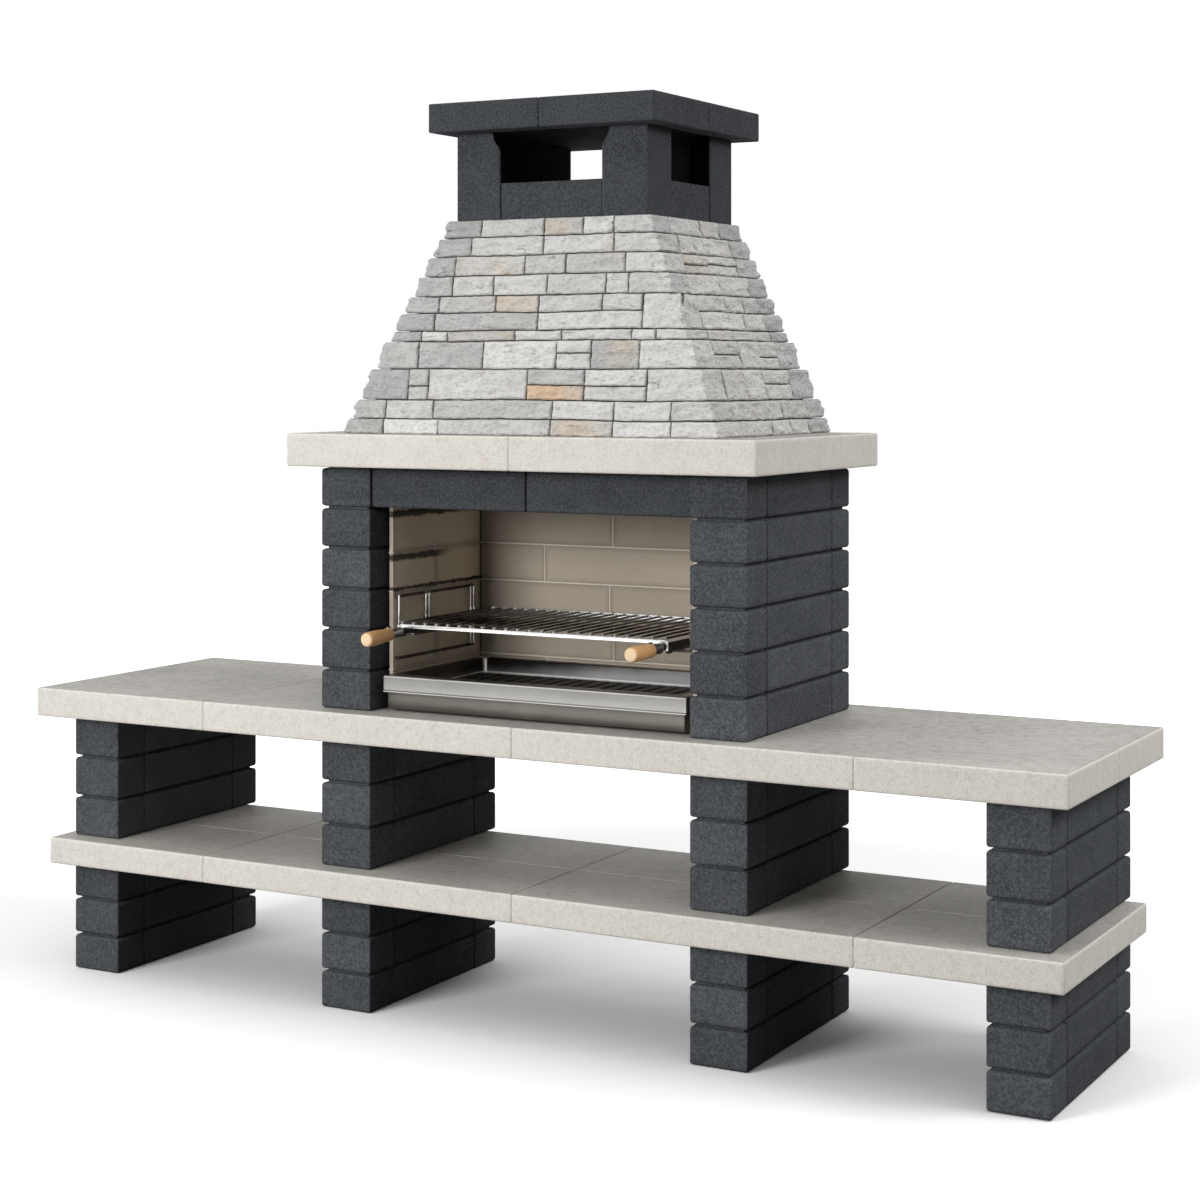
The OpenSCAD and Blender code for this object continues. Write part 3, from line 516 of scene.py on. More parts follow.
def stone_finish(tree):
    """Split stone: grey to pale, some of it tan, with darker hollows, and painted shade round each
    stone's rim.
    """
    stones = bpy.context.scene.barbecue_stones
    place = tree.place()
    warm = tree.attribute("warm")
    layered = tree.noise(tree.stretched(place, (0.7, 0.7, 1.3)), 68.0, 5.0, 0.7)
    chips = tree.cells(tree.stretched(place, (0.7, 0.7, 1.2)), 105.0)
    blotch = tree.noise(place, 17.0, 4.0, 0.6)
    grain = tree.noise(place, 190.0, 4.0, 0.7)
    cracks = tree.noise(tree.stretched(place, (0.32, 0.32, 2.2)), 16.0, 4.0, 0.6, 0.4)
    patches = tree.noise(place, 9.0, 5.0, 0.65)
    veins = tree.below((cracks - 0.5).absolute(), 0.0, 0.012) * tree.between(blotch, 0.5, 0.62)
    pale = tree.between(tree.attribute("tone") + (blotch - 0.5) * 0.7, 0.0, 1.0)
    colour = tree.mix(pale, stones.grey_colour, stones.pale_colour)
    rusty = tree.between(warm + (patches - 0.5) * 2.2, 0.25, 1.15)
    rust = tree.mix(tree.between(warm, 0.86, 0.93), stones.warm_colour, (0.72, 0.50, 0.32))
    colour = tree.mix(rusty * 0.8, colour, rust)
    chiselled = tree.between(layered * 0.6 + chips * 0.5 + grain * 0.2, 0.35, 0.75)
    colour = tree.shade(colour, 0.81 + chiselled * 0.22 + grain * 0.15)
    colour = tree.mix(veins * 0.5, colour, (0.17, 0.16, 0.15))
    # Painted shade: each stone darkens towards its rim, where the joints are
    rim = tree.between(tree.attribute("edge"), 0.4, 1.0)
    colour = tree.mix(rim * 0.45, colour, (0.12, 0.115, 0.11))
    height = layered * 0.8 + chips * 0.9 + grain * 0.3 - veins * 0.4
    return tree.surface(colour, tree.between(grain, 0.3, 0.7, 0.78, 0.92), height, 0.0042, 0.85,
                        Specular_IOR_Level=0.3)


def hood_concrete_finish(tree):
    """Rough concrete inside the hood, blackened towards the flue."""
    place = tree.place()
    grain = tree.noise(place, 90.0, 5.0, 0.7)
    clouds = tree.noise(place, 7.0, 3.0, 0.5)
    sooty = tree.between(tree.parts(place, "Z") + clouds * 0.5, 1.5, 2.2, 0.25, 0.92)
    colour = tree.shade((0.30, 0.28, 0.25), 0.7 + grain * 0.5)
    colour = tree.mix(sooty, colour, (0.02, 0.019, 0.018))
    return tree.surface(colour, 0.95, grain, 0.002, 0.8)


ALONG_X = (0.02, 1.0, 1.0)
ALONG_Y = (1.0, 0.05, 1.0)


def brushed_steel(along, colour, rough):
    """A recipe for steel brushed one way, with faint heat and finger marks."""

    def recipe(tree):
        place = tree.place()
        lines = tree.noise(tree.stretched(place, along), 700.0, 3.0, 0.6)
        marks = tree.noise(tree.stretched(place, (0.5, 1.0, 0.4)), 9.0, 3.0, 0.5)
        base = tree.shade(colour, 0.80 + lines * 0.14 + marks * 0.26)
        base = tree.mix(tree.between(marks, 0.45, 0.8) * 0.2, base, (0.36, 0.33, 0.28))
        shine = tree.between(lines * 0.6 + marks * 0.4, 0.3, 0.7, rough - 0.05, rough + 0.06)
        return tree.surface(base, shine, lines, 0.00012, 0.25, Metallic=1.0)

    return recipe


def heated_steel(floor, rim, half, back):
    """A recipe for the tray's inside: blackened on the left, with a painted highlight along the
    foot of its walls and up its back corners.
    """

    def recipe(tree):
        place = tree.place()
        parts = tree.parts(place)
        lines = tree.noise(tree.stretched(place, ALONG_X), 700.0, 3.0, 0.6)
        marks = tree.noise(tree.stretched(place, (0.5, 1.0, 0.5)), 14.0, 4.0, 0.6)
        across = parts - MIDDLE.x
        up = (parts.output("Z") - floor) / (rim - floor)
        burnt = tree.between(up * 0.75 - across / 0.4 * 0.55 + marks * 0.5, 0.4, 1.3)
        colour = tree.mix(burnt, (0.40, 0.395, 0.39), (0.030, 0.028, 0.026))
        wall = tree.between(up, 0.006, 0.03)
        # Painted highlight: corner and foot draw a bright line up the back corners and along the
        # foot of the walls
        corner = (tree.between(across.absolute(), half - 0.013, half - 0.009)
                  * tree.between(parts.output("Y"), back - 0.013, back - 0.009))
        foot = wall * tree.clamped(tree.below(up, 0.13, 0.19) + corner)
        colour = tree.mix(foot * 0.95, colour, (0.93, 0.93, 0.92))
        scaled = tree.shade((0.045, 0.038, 0.032), 0.7 + marks * 0.6)
        colour = tree.shade(tree.mix(1.0 - wall, colour, scaled), 0.9 + lines * 0.2)
        return tree.surface(colour, tree.between(marks, 0.3, 0.7, 0.28, 0.4), lines, 0.0001, 0.2,
                            Metallic=1.0 - foot * 0.5)

    return recipe


def chrome_finish(tree):
    """Bright wire, dulled by smoke in patches."""
    place = tree.place()
    fine = tree.noise(place, 420.0, 2.0, 0.5)
    dull = tree.between(tree.noise(place, 24.0, 4.0, 0.6), 0.45, 0.75)
    colour = tree.mix(dull * 0.6, (0.62, 0.61, 0.60), (0.16, 0.14, 0.12))
    return tree.surface(colour, tree.between(dull + fine * 0.3, 0.0, 1.2, 0.14, 0.36),
                        fine, 0.0003, 0.2, Metallic=1.0)


def dark_wire_finish(tree):
    """Wire and bars over the fire, browned by fat and heat."""
    place = tree.place()
    smoke = tree.between(tree.noise(place, 30.0, 4.0, 0.65), 0.3, 0.65)
    fine = tree.noise(place, 380.0, 3.0, 0.6)
    colour = tree.mix(smoke, (0.13, 0.115, 0.10), (0.032, 0.027, 0.022))
    return tree.surface(colour, tree.between(fine, 0.3, 0.7, 0.26, 0.44), fine, 0.0004, 0.4,
                        Metallic=0.9)


def plated_finish(tree):
    """Bright plated bar, wiped clean, with faint marks."""
    marks = tree.noise(tree.place(), 60.0, 3.0, 0.6)
    colour = tree.shade((0.90, 0.895, 0.885), 0.84 + marks * 0.22)
    return tree.surface(colour, tree.between(marks, 0.3, 0.7, 0.2, 0.34), marks, 0.0001, 0.12,
                        Metallic=0.75)


def scaled_steel_finish(tree):
    """Black steel with the scale that heat leaves."""
    place = tree.place()
    scale = tree.noise(place, 130.0, 4.0, 0.7)
    ash = tree.between(tree.noise(place, 26.0, 4.0, 0.7), 0.55, 0.75)
    colour = tree.mix(tree.between(scale, 0.4, 0.7), (0.018, 0.018, 0.019), (0.055, 0.052, 0.05))
    colour = tree.mix(ash * 0.25, colour, (0.13, 0.12, 0.11))
    return tree.surface(colour, tree.between(scale, 0.3, 0.7, 0.36, 0.6), scale, 0.0006, 0.5,
                        Metallic=0.6)


def wood_finish(tree):
    """Varnished turned wood: long grain on the side, rings on the end."""
    place = tree.place()
    grain = tree.noise(tree.stretched(place, (1.0, 0.07, 1.0)), 420.0, 4.0, 0.65, 0.4)
    bands = tree.noise(tree.stretched(place, (1.0, 0.16, 1.0)), 85.0, 3.0, 0.5, 1.0)
    pores = tree.noise(tree.stretched(place, ALONG_Y), 900.0, 2.0, 0.5)
    pores = tree.between(pores, 0.58, 0.72)
    end = tree.attribute("end")
    wood = bpy.context.scene.barbecue_grill.wood_colour
    colour = tree.shade(wood, 0.78 + bands * 0.26 + grain * 0.2)
    colour = tree.mix(pores * 0.4 * (1.0 - end), colour, (0.24, 0.10, 0.03))
    rings = tree.between(tree.noise(place, 330.0, 2.0, 0.6), 0.2, 0.8, 0.72, 1.0)
    colour = tree.mix(end * rings, colour, (0.96, 0.74, 0.49))
    return tree.surface(colour, tree.between(grain, 0.3, 0.7, 0.36, 0.52), grain - pores * 0.4,
                        0.0004, 0.4, Coat_Weight=0.25, Coat_Roughness=0.2)


RECIPES = {
    "cast_block": block_finish,
    "cream_slab": slab_finish,
    "firebrick": brick_finish,
    "firebrick_mortar": mortar_finish,
    "split_stone": stone_finish,
    "hood_concrete": hood_concrete_finish,
    "bright_chrome": chrome_finish,
    "browned_wire": dark_wire_finish,
    "plated_bar": plated_finish,
    "scaled_steel": scaled_steel_finish,
    "turned_wood": wood_finish,
    # A lighter copy of the dark steel, for the left handle's bar and socket: painted light
    "steel_painted_lit": brushed_steel(ALONG_Y, (0.36, 0.36, 0.355), 0.36),
    "blued_steel": brushed_steel(ALONG_Y, (0.12, 0.122, 0.126), 0.34),
    "dull_steel": brushed_steel(ALONG_X, (0.175, 0.162, 0.145), 0.42),
    # The band's hem and top bead, brighter as painted highlights
    "bright_hem": brushed_steel(ALONG_X, (0.62, 0.615, 0.60), 0.3),
}


# Mesh helpers


def new_object(name, mesh, *materials):
    piece = bpy.data.objects.new(name, mesh)
    for material in materials:
        mesh.materials.append(material)
    bpy.context.scene.collection.objects.link(piece)
    return piece


def made_object(name, bm, *materials, recalculate=True):
    """An object from a bmesh, smooth, with its faces pointing outwards."""
    if recalculate:
        bmesh.ops.recalc_face_normals(bm, faces=bm.faces)
    for face in bm.faces:
        face.smooth = True
    mesh = bpy.data.meshes.new(name)
    bm.to_mesh(mesh)
    bm.free()
    mesh.set_sharp_from_angle(angle=SHARP)
    return new_object(name, mesh, *materials)


def plain(piece):
    """Turns what a piece's modifiers make into its own mesh, and takes the modifiers off."""
    graph = bpy.context.evaluated_depsgraph_get()
    mesh = bpy.data.meshes.new_from_object(
        piece.evaluated_get(graph), preserve_all_data_layers=True, depsgraph=graph)
    old = piece.data
    piece.modifiers.clear()
    piece.data = mesh
    mesh.name = piece.name
    bpy.data.meshes.remove(old)


def bevelled(piece, width, segments, limit="ANGLE"):
    """The piece with its edges rounded and its modifiers made plain."""
    bevel = piece.modifiers.new("Rounding", "BEVEL")
    bevel.width, bevel.segments, bevel.limit_method = width, segments, limit
    plain(piece)


def framed_faces(piece, width, table=None):
    """Draws a rim inside each broad flat face, so that smooth shading bends only at its edges.
    Where table gives the box of a whole table, the attribute top is 1 on its upper faces and in
    the seams between them."""
    bm = bmesh.new()
    bm.from_mesh(piece.data)
    broad = [face for face in bm.faces if face.calc_area() > face.calc_perimeter() * width * 1.3]
    bmesh.ops.inset_individual(bm, faces=broad, thickness=width, use_even_offset=True)
    if table:
        above = bm.faces.layers.float.new("top")
        low, high = table
        bm.normal_update()
        for face in bm.faces:
            middle = face.calc_center_median()
            within = min(middle.x - low.x, high.x - middle.x, middle.y - low.y, high.y - middle.y)
            level, sloped = face.normal.z > 0.9, face.normal.z > 0.3
            face[above] = 1.0 if level or sloped and within > 0.0055 else 0.0
    for face in bm.faces:
        face.smooth = True
    bm.to_mesh(piece.data)
    bm.free()


def round_outside(bm, low, high, radius, near=0.004):
    """Rounds the edges that lie on two faces of the box from low to high."""
    limits = [(axis, corner[axis]) for axis in range(3) for corner in (low, high)]

    def on(vertex, axis, limit, reach=SAME_PLACE):
        return abs(vertex.co[axis] - limit) < reach

    for vertex in bm.verts:
        close = [(axis, limit) for axis, limit in limits if on(vertex, axis, limit, near)]
        if len(close) == 3 or len(close) == 2 and any(on(vertex, *limit) for limit in close):
            for axis, limit in close:
                vertex.co[axis] = limit
    merge(bm)
    outer = []
    for edge in bm.edges:
        shared = [limit for limit in limits if all(on(vertex, *limit) for vertex in edge.verts)]
        if len(shared) > 1:
            outer.append(edge)
    bmesh.ops.bevel(bm, geom=outer, offset=radius, segments=4, profile=0.5, affect="EDGES",
                    clamp_overlap=True)


def merge(bm):
    """Merges vertices in one place, and triangles in one plane."""
    bmesh.ops.remove_doubles(bm, verts=bm.verts, dist=SAME_PLACE)
    bmesh.ops.dissolve_degenerate(bm, dist=NO_LENGTH, edges=bm.edges)
    bmesh.ops.dissolve_limit(bm, angle_limit=SAME_PLANE, verts=bm.verts, edges=bm.edges)


def dressed_copy(name, node, rounding, material, rim=0.007, outside=None):
    """A copy of a CAD node with its triangles merged into faces and its edges rounded.
    outside gives the box of the table that it is part of, and the radius of its outer edges."""
    bm = bmesh.new()
    bm.from_mesh(frame["nodes"][node].data)
    merge(bm)
    if outside:
        round_outside(bm, *outside)
    ridges = [edge for edge in bm.edges
              if len(edge.link_faces) == 2 and edge.calc_face_angle(0.0) > RIDGE]
    bmesh.ops.bevel(bm, geom=ridges, offset=rounding, segments=2, profile=0.5, affect="EDGES",
                    clamp_overlap=True)
    bmesh.ops.dissolve_degenerate(bm, dist=NO_LENGTH, edges=bm.edges)
    piece = made_object(name, bm, material, recalculate=False)
    framed_faces(piece, rim, outside and outside[:2])
    stands_for(piece, node)


def body_of(node):
    for body, nodes in frame["record"]["behaviour"]["bodies"].items():
        if node in nodes:
            return body
    raise ValueError("no body holds the node " + node)


def stands_for(piece, *nodes):
    """The piece rides with the nodes that it stands for, and takes their place."""
    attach(piece, body_of(nodes[0]))
    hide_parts(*nodes)


def rounded_box(bm, corner, opposite, rounding, segments=2, slot=0):
    """Adds a box with rounded edges to a bmesh."""
    verts = bmesh.ops.create_cube(bm, size=1.0)["verts"]
    ranges = [sorted(pair) for pair in zip(corner, opposite)]
    for vertex in verts:
        vertex.co = Vector(ranges[i][vertex.co[i] > 0] for i in range(3))
    edges = list({edge for vertex in verts for edge in vertex.link_edges})
    done = bmesh.ops.bevel(bm, geom=edges, offset=rounding, segments=segments, profile=0.5,
                           affect="EDGES")
    for face in done["faces"]:
        face.material_index = slot
    for vertex in verts:
        if vertex.is_valid:
            for face in vertex.link_faces:
                face.material_index = slot


def bridged(bm, ring, following):
    """Makes the faces between two closed rings of vertices, and gives them back."""
    after = [(i + 1) % len(ring) for i in range(len(ring))]
    return [bm.faces.new((ring[i], ring[j], following[j], following[i]))
            for i, j in enumerate(after)]


def turned(bm, centre, axis, profile, steps):
    """Adds a turned form: profile lists (distance along axis, radius). Gives its rings."""
    axis = Vector(axis).normalized()
    side = axis.orthogonal().normalized()
    other = axis.cross(side)
    rings = []
    for along, radius in profile:
        turns = [2 * math.pi * step / steps for step in range(steps)]
        rings.append([bm.verts.new(
            centre + axis * along + (side * math.cos(turn) + other * math.sin(turn)) * radius)
            for turn in turns])
    for ring, following in zip(rings, rings[1:]):
        bridged(bm, ring, following)
    bm.faces.new(list(reversed(rings[0])))
    bm.faces.new(rings[-1])
    return rings


def grow(piece, name, values):
    """Gives a piece the Geometry Nodes tree of that name, with its inputs set by name."""
    build, wanted = TREES[name]
    group = bpy.data.node_groups.get(name)
    if group is None:
        group = bpy.data.node_groups.new(name, "GeometryNodeTree")
        tree = Tree(group)
        build(tree, tree.sockets(wanted))
    modifier = piece.modifiers.new(name, "NODES")
    modifier.node_group = group
    for socket in group.interface.items_tree:
        if socket.in_out == "INPUT" and socket.name in values:
            modifier[socket.identifier] = values[socket.name]
    return piece


def grown(name, tree_name, **values):
    """A piece grown from nothing by the Geometry Nodes tree of that name. values are the tree's
    inputs, named in lower case with underscores."""
    values = {key.replace("_", " ").capitalize(): value for key, value in values.items()}
    return grow(new_object(name, bpy.data.meshes.new(name)), tree_name, values)


# Blocks

# Width of the rim that keeps a block's broad faces flat in smooth shading
BLOCK_RIM = 0.006


def block_courses(tree, given):
    """Rows of cast blocks laid in courses, with open joints and a core behind them."""
    low, size, row, joint = given["Low"], given["Size"], given["Row"], given["Joint"]
    across = tree.vector_math("SUBTRACT", tree.vector(1.0, 1.0, 0.0), row)
    along = tree.vector_math("DOT_PRODUCT", size, row, output="Value")
    thick = tree.vector_math("DOT_PRODUCT", size, across, output="Value")
    pitch = tree.parts(size, "Z") / given["Courses"]
    height = pitch - given["Bed"]
    cube = tree.add("GeometryNodeMeshCube", None, {"Size": (1.0, 1.0, 1.0)})
    ends = tree.add("GeometryNodeInputMeshEdgeVertices", output="Position 1")
    run = tree.vector_math("SUBTRACT", ends, ends.output("Position 2"))
    upright = tree.parts(run, "Z").absolute()
    cube = tree.stored(cube, "EDGE", "bevel_weight_edge",
                       1.0 - upright * (1.0 - given["Sharpness"]))
    end, half = given["End length"], joint / 2.0
    middle = along - end * 2.0
    columns = []
    for start, length in ((0.0, end - half), (end + half, middle - joint),
                          (along - end + half, end - half)):
        centre = tree.total(low, tree.scaled(row, start + length / 2.0),
                            tree.scaled(across, thick / 2.0), tree.vector(z=height / 2.0))
        line = tree.line(given["Courses"], centre, tree.vector(z=pitch))
        scale = tree.total(tree.scaled(row, length), tree.scaled(across, thick),
                           tree.vector(z=height))
        wanted = tree.add("FunctionNodeCompare", {
            "data_type": "FLOAT", "operation": "GREATER_THAN"}, {0: length, 1: 0.01})
        columns.append(tree.add("GeometryNodeSwitch", {"input_type": "GEOMETRY"}, {
            "Switch": wanted, "True": tree.copies(line, cube, scale)}))
    chance = tree.add("FunctionNodeRandomValue", {"data_type": "FLOAT"}, {
        2: -1.0, 3: 1.0, "ID": tree.add("GeometryNodeInputIndex"), "Seed": given["Seed"]}, 1)
    toned = tree.stored(tree.joined(*columns), "INSTANCE", "tone", chance)
    inset = given["Core depth"] * 2.0
    core = tree.add("GeometryNodeMeshCube", None, {"Size": tree.vector_math(
        "SUBTRACT", size, tree.total(tree.scaled(row, inset), tree.scaled(across, inset),
                                     (0.0, 0.0, 0.0004)))})
    core = tree.add("GeometryNodeTransform", None, {
        "Geometry": core, "Translation": tree.total(low, tree.scaled(size, 0.5))})
    tree.end(tree.joined(toned, core), given["Material"])


def lay_blocks(node, courses, row, end_length, seed):
    """The blocks of one CAD node, in courses."""
    blocks = bpy.context.scene.barbecue_blocks
    low, high = corners(node)
    piece = grown("blocks_" + node, "Block courses", low=low, size=high - low, row=row,
                  courses=courses, end_length=end_length, joint=blocks.joint, bed=blocks.bed,
                  sharpness=blocks.sharpness, seed=blocks.seed + seed,
                  material=finish("cast_block"))
    bevelled(piece, blocks.rounding, 3, "WEIGHT")
    framed_faces(piece, BLOCK_RIM)
    stands_for(piece, node)


class BARBECUE_OT_blocks(bpy.types.Operator):
    """Lays the blocks of the piers, pillars, lintel and back wall"""

    bl_idname = "barbecue.blocks"
    bl_label = "Blocks"

    def execute(self, context):
        end = context.scene.barbecue_blocks.end_length
        inwards, sideways = (0.0, 1.0, 0.0), (1.0, 0.0, 0.0)
        for number in range(1, 5):
            for tier in ("lower", "upper"):
                lay_blocks("pier_%d_%s" % (number, tier), 3, inwards, end, number * 7 + len(tier))
        lay_blocks("pillar_left", 6, inwards, end, 50)
        lay_blocks("pillar_right", 6, inwards, end, 60)
        for node, courses, in_row in (("lintel", 1, 2), ("rear_wall", 6, 3)):
            low, high = corners(node)
            lay_blocks(node, courses, sideways, (high.x - low.x) / in_row, 70 + courses)
        return {"FINISHED"}


# Slabs, collar and cap

# Radius of the collar's and the cap's edges
CAST_ROUNDING = 0.0022


class BARBECUE_OT_slabs(bpy.types.Operator):
    """Casts the slabs of the shelf, worktop and mantel"""

    bl_idname = "barbecue.slabs"
    bl_label = "Slabs"

    def execute(self, context):
        slabs = context.scene.barbecue_slabs
        ranks = ("front", "back")
        tables = [["%s_%d_%s" % (kind, number, rank) for number in range(1, 5) for rank in ranks]
                  for kind in ("shelf", "worktop")]
        tables.append(["mantel_%s_%s" % (rank, side) for rank in ranks for side, _ in HANDS])
        for names in tables:
            outside = (*corners(*names), slabs.outside)
            for name in names:
                dressed_copy("slab_" + name, name, slabs.rounding, finish("cream_slab"),
                             outside=outside)
        return {"FINISHED"}


class BARBECUE_OT_chimney(bpy.types.Operator):
    """Sets the collar's posts and panels, and the cap"""

    bl_idname = "barbecue.chimney"
    bl_label = "Chimney"

    def execute(self, context):
        names = ["%s_%s_%s" % (kind, rank, side) for kind in ("post", "cap")
                 for rank in ("front", "back") for side, _ in HANDS]
        for name in names + ["panel_" + side for side in SIDES]:
            dressed_copy("cast_" + name, name, CAST_ROUNDING, finish("cast_block"), rim=0.008)
        shell = frame["nodes"]["hood_shell"].data
        if shell.materials:
            shell.materials[0] = finish("hood_concrete")
        else:
            shell.materials.append(finish("hood_concrete"))
        return {"FINISHED"}


# Firebrick

# How far the linings' faces lie back from the CAD's
FACE_BACK = 0.003


def round_bars(tree, given):
    """Round bars along the edges of a mesh: wires, rods and beads of mortar."""
    lines = tree.add("GeometryNodeMeshToCurve", None, {"Mesh": given["Geometry"]})
    rough = tree.add("ShaderNodeTexNoise", {"noise_dimensions": "4D"}, {
        "Vector": tree.add("GeometryNodeInputPosition"), "W": given["Seed"], "Scale": 60.0,
        "Detail": 3.0})
    radius = 1.0 + (rough - 0.5) * given["Unevenness"]
    lines = tree.add("GeometryNodeSetCurveRadius", None, {"Curve": lines, "Radius": radius})
    ring = tree.add("GeometryNodeCurvePrimitiveCircle", None, {
        "Resolution": given["Sides"], "Radius": given["Diameter"] / 2.0})
    bars = tree.add("GeometryNodeCurveToMesh", None, {
        "Curve": lines, "Profile Curve": ring, "Scale": radius, "Fill Caps": True})
    tree.end(bars, given["Material"])


def along_paths(name, paths, diameter, material, sides=12, unevenness=0.0, seed=0.0):
    """Round bars along lists of points."""
    points, edges = [], []
    for path in paths:
        edges += [(len(points) + i, len(points) + i + 1) for i in range(len(path) - 1)]
        points += [tuple(point) for point in path]
    mesh = bpy.data.meshes.new(name)
    mesh.from_pydata(points, edges, [])
    piece = grow(new_object(name, mesh), "Round bars", {
        "Diameter": diameter, "Sides": sides, "Unevenness": unevenness, "Seed": seed,
        "Material": material})
    plain(piece)
    return piece


def joined_pieces(name, pieces):
    """Several plain pieces as one mesh object at the origin."""
    bm = bmesh.new()
    materials = []
    for piece in pieces:
        slots = []
        for material in piece.data.materials:
            if material not in materials:
                materials.append(material)
            slots.append(materials.index(material))
        before = len(bm.faces)
        bm.from_mesh(piece.data)
        bm.faces.ensure_lookup_table()
        for face in bm.faces[before:]:
            face.material_index = slots[face.material_index] if slots else 0
    mesh = bpy.data.meshes.new(name)
    bm.to_mesh(mesh)
    bm.free()
    for piece in pieces:
        old = piece.data
        bpy.data.objects.remove(piece)
        bpy.data.meshes.remove(old)
    return new_object(name, mesh, *materials)


# A brick from its face to its broad front: (inset, out, strength of the painted shade at its rim)
# of each ring of corners
BRICK_RINGS = ((0.0, -0.0025, 1.0), (0.0008, -0.0006, 1.0), (0.0030, 0.0, 0.6), (0.015, 0.0, 0.0))
# Depth of a mortar bead's middle behind the bricks' faces
BEAD_DEPTH = 0.0012
# The side linings' bricks: their thickness, and how much lighter than the back's they are painted,
# as painted light
SIDE_THICKNESS, SIDE_PAINTED_LIGHT = 0.012, 11.5


def brick_wall(side, width, place, uprights, seed, thickness=0.0285, painted_light=0.0):
    """Firebricks on the face of a lining, with beads of mortar in the joints.
    place(across, up, out) gives a point: across from 0 to width, out 0 on the lining's face.
    uprights lists the upright joints of each course, from the bottom."""
    bricks = bpy.context.scene.barbecue_bricks
    name, node = "firebrick_" + side, "lining_" + side
    low, high = corners(node)
    chance = random.Random(seed)
    levels = [low.z]
    while levels[-1] + bricks.course < high.z - 0.03:
        levels.append(levels[-1] + bricks.course)
    levels.append(high.z)
    half = bricks.joint / 2
    bm = bmesh.new()
    tone = bm.verts.layers.float.new("tone")
    edge = bm.verts.layers.float.new("edge")
    beads = []
    for course, (down, up) in enumerate(zip(levels, levels[1:])):
        stops = [0.0, *uprights[min(course, len(uprights) - 1)], width]
        z0 = down if course == 0 else down + half
        z1 = up if up == levels[-1] else up - half
        for a, b in zip(stops, stops[1:]):
            # Painted light: the side linings' bricks are made paler through their tone
            shade = chance.uniform(-1.0, 1.0) + painted_light
            a0 = a if a == 0.0 else a + half
            b0 = b if b == width else b - half
            rings = []
            # The third value of each ring is the painted shade at the brick's rim
            for inset, out, worn in ((0.0, -thickness, 1.0), *BRICK_RINGS):
                x0, x1, y0, y1 = a0 + inset, b0 - inset, z0 + inset, z1 - inset
                ring = [bm.verts.new(place(across, height, out))
                        for across, height in ((x0, y0), (x1, y0), (x1, y1), (x0, y1))]
                for vertex in ring:
                    vertex[tone], vertex[edge] = shade, worn
                rings.append(ring)
            for ring, following in zip(rings, rings[1:]):
                bridged(bm, ring, following)
            bm.faces.new(rings[-1])
            bm.faces.new(list(reversed(rings[0])))
            if b != width:
                beads.append([place(b, z0 + (z1 - z0) * i / 8, -BEAD_DEPTH) for i in range(9)])
        if course:
            beads.append([place(0.0, down, -thickness), place(0.0, down, -thickness / 2)]
                         + [place(width * i / 60, down, -BEAD_DEPTH) for i in range(61)])
    wall = made_object(name + "_bricks", bm, finish("firebrick"))
    mortar = along_paths(name + "_mortar", beads, bricks.joint + 0.0008,
                         finish("firebrick_mortar"), 8, 0.5, seed * 3.7)
    stands_for(joined_pieces(name, [wall, mortar]), node)


class BARBECUE_OT_bricks(bpy.types.Operator):
    """Lines the firebox with firebricks and mortar"""

    bl_idname = "barbecue.bricks"
    bl_label = "Firebrick"

    def execute(self, context):
        back = corners("lining_back")[0].y
        side_low = corners("lining_right")[0]
        half = side_low.x + FACE_BACK - MIDDLE.x
        front, depth = side_low.y, back - side_low.y

        def on_back(across, up, out):
            return Vector((MIDDLE.x - half + across, back - out, up))

        def on_left(across, up, out):
            return Vector((MIDDLE.x - half + out, front + across, up))

        def on_right(across, up, out):
            return Vector((MIDDLE.x + half - out, front + across, up))

        joints = (-236.0, -16.0, -29.0, -241.0, -19.0, -236.0)
        back_joints = [[at(x, 0, 0).x - MIDDLE.x + half] for x in joints]
        side_joints = [[depth * 0.48] if course % 2 else [] for course in range(6)]
        brick_wall("back", 2 * half, on_back, back_joints, 1)
        brick_wall("left", depth, on_left, side_joints, 2, SIDE_THICKNESS, SIDE_PAINTED_LIGHT)
        brick_wall("right", depth, on_right, side_joints, 3, SIDE_THICKNESS, SIDE_PAINTED_LIGHT)
        return {"FINISHED"}


# Split stone on the hood

# Heights of the courses from the foot up, as shares of the hood's height
COURSES = (41, 51, 82, 75, 28, 47, 45, 55, 53, 51, 47)

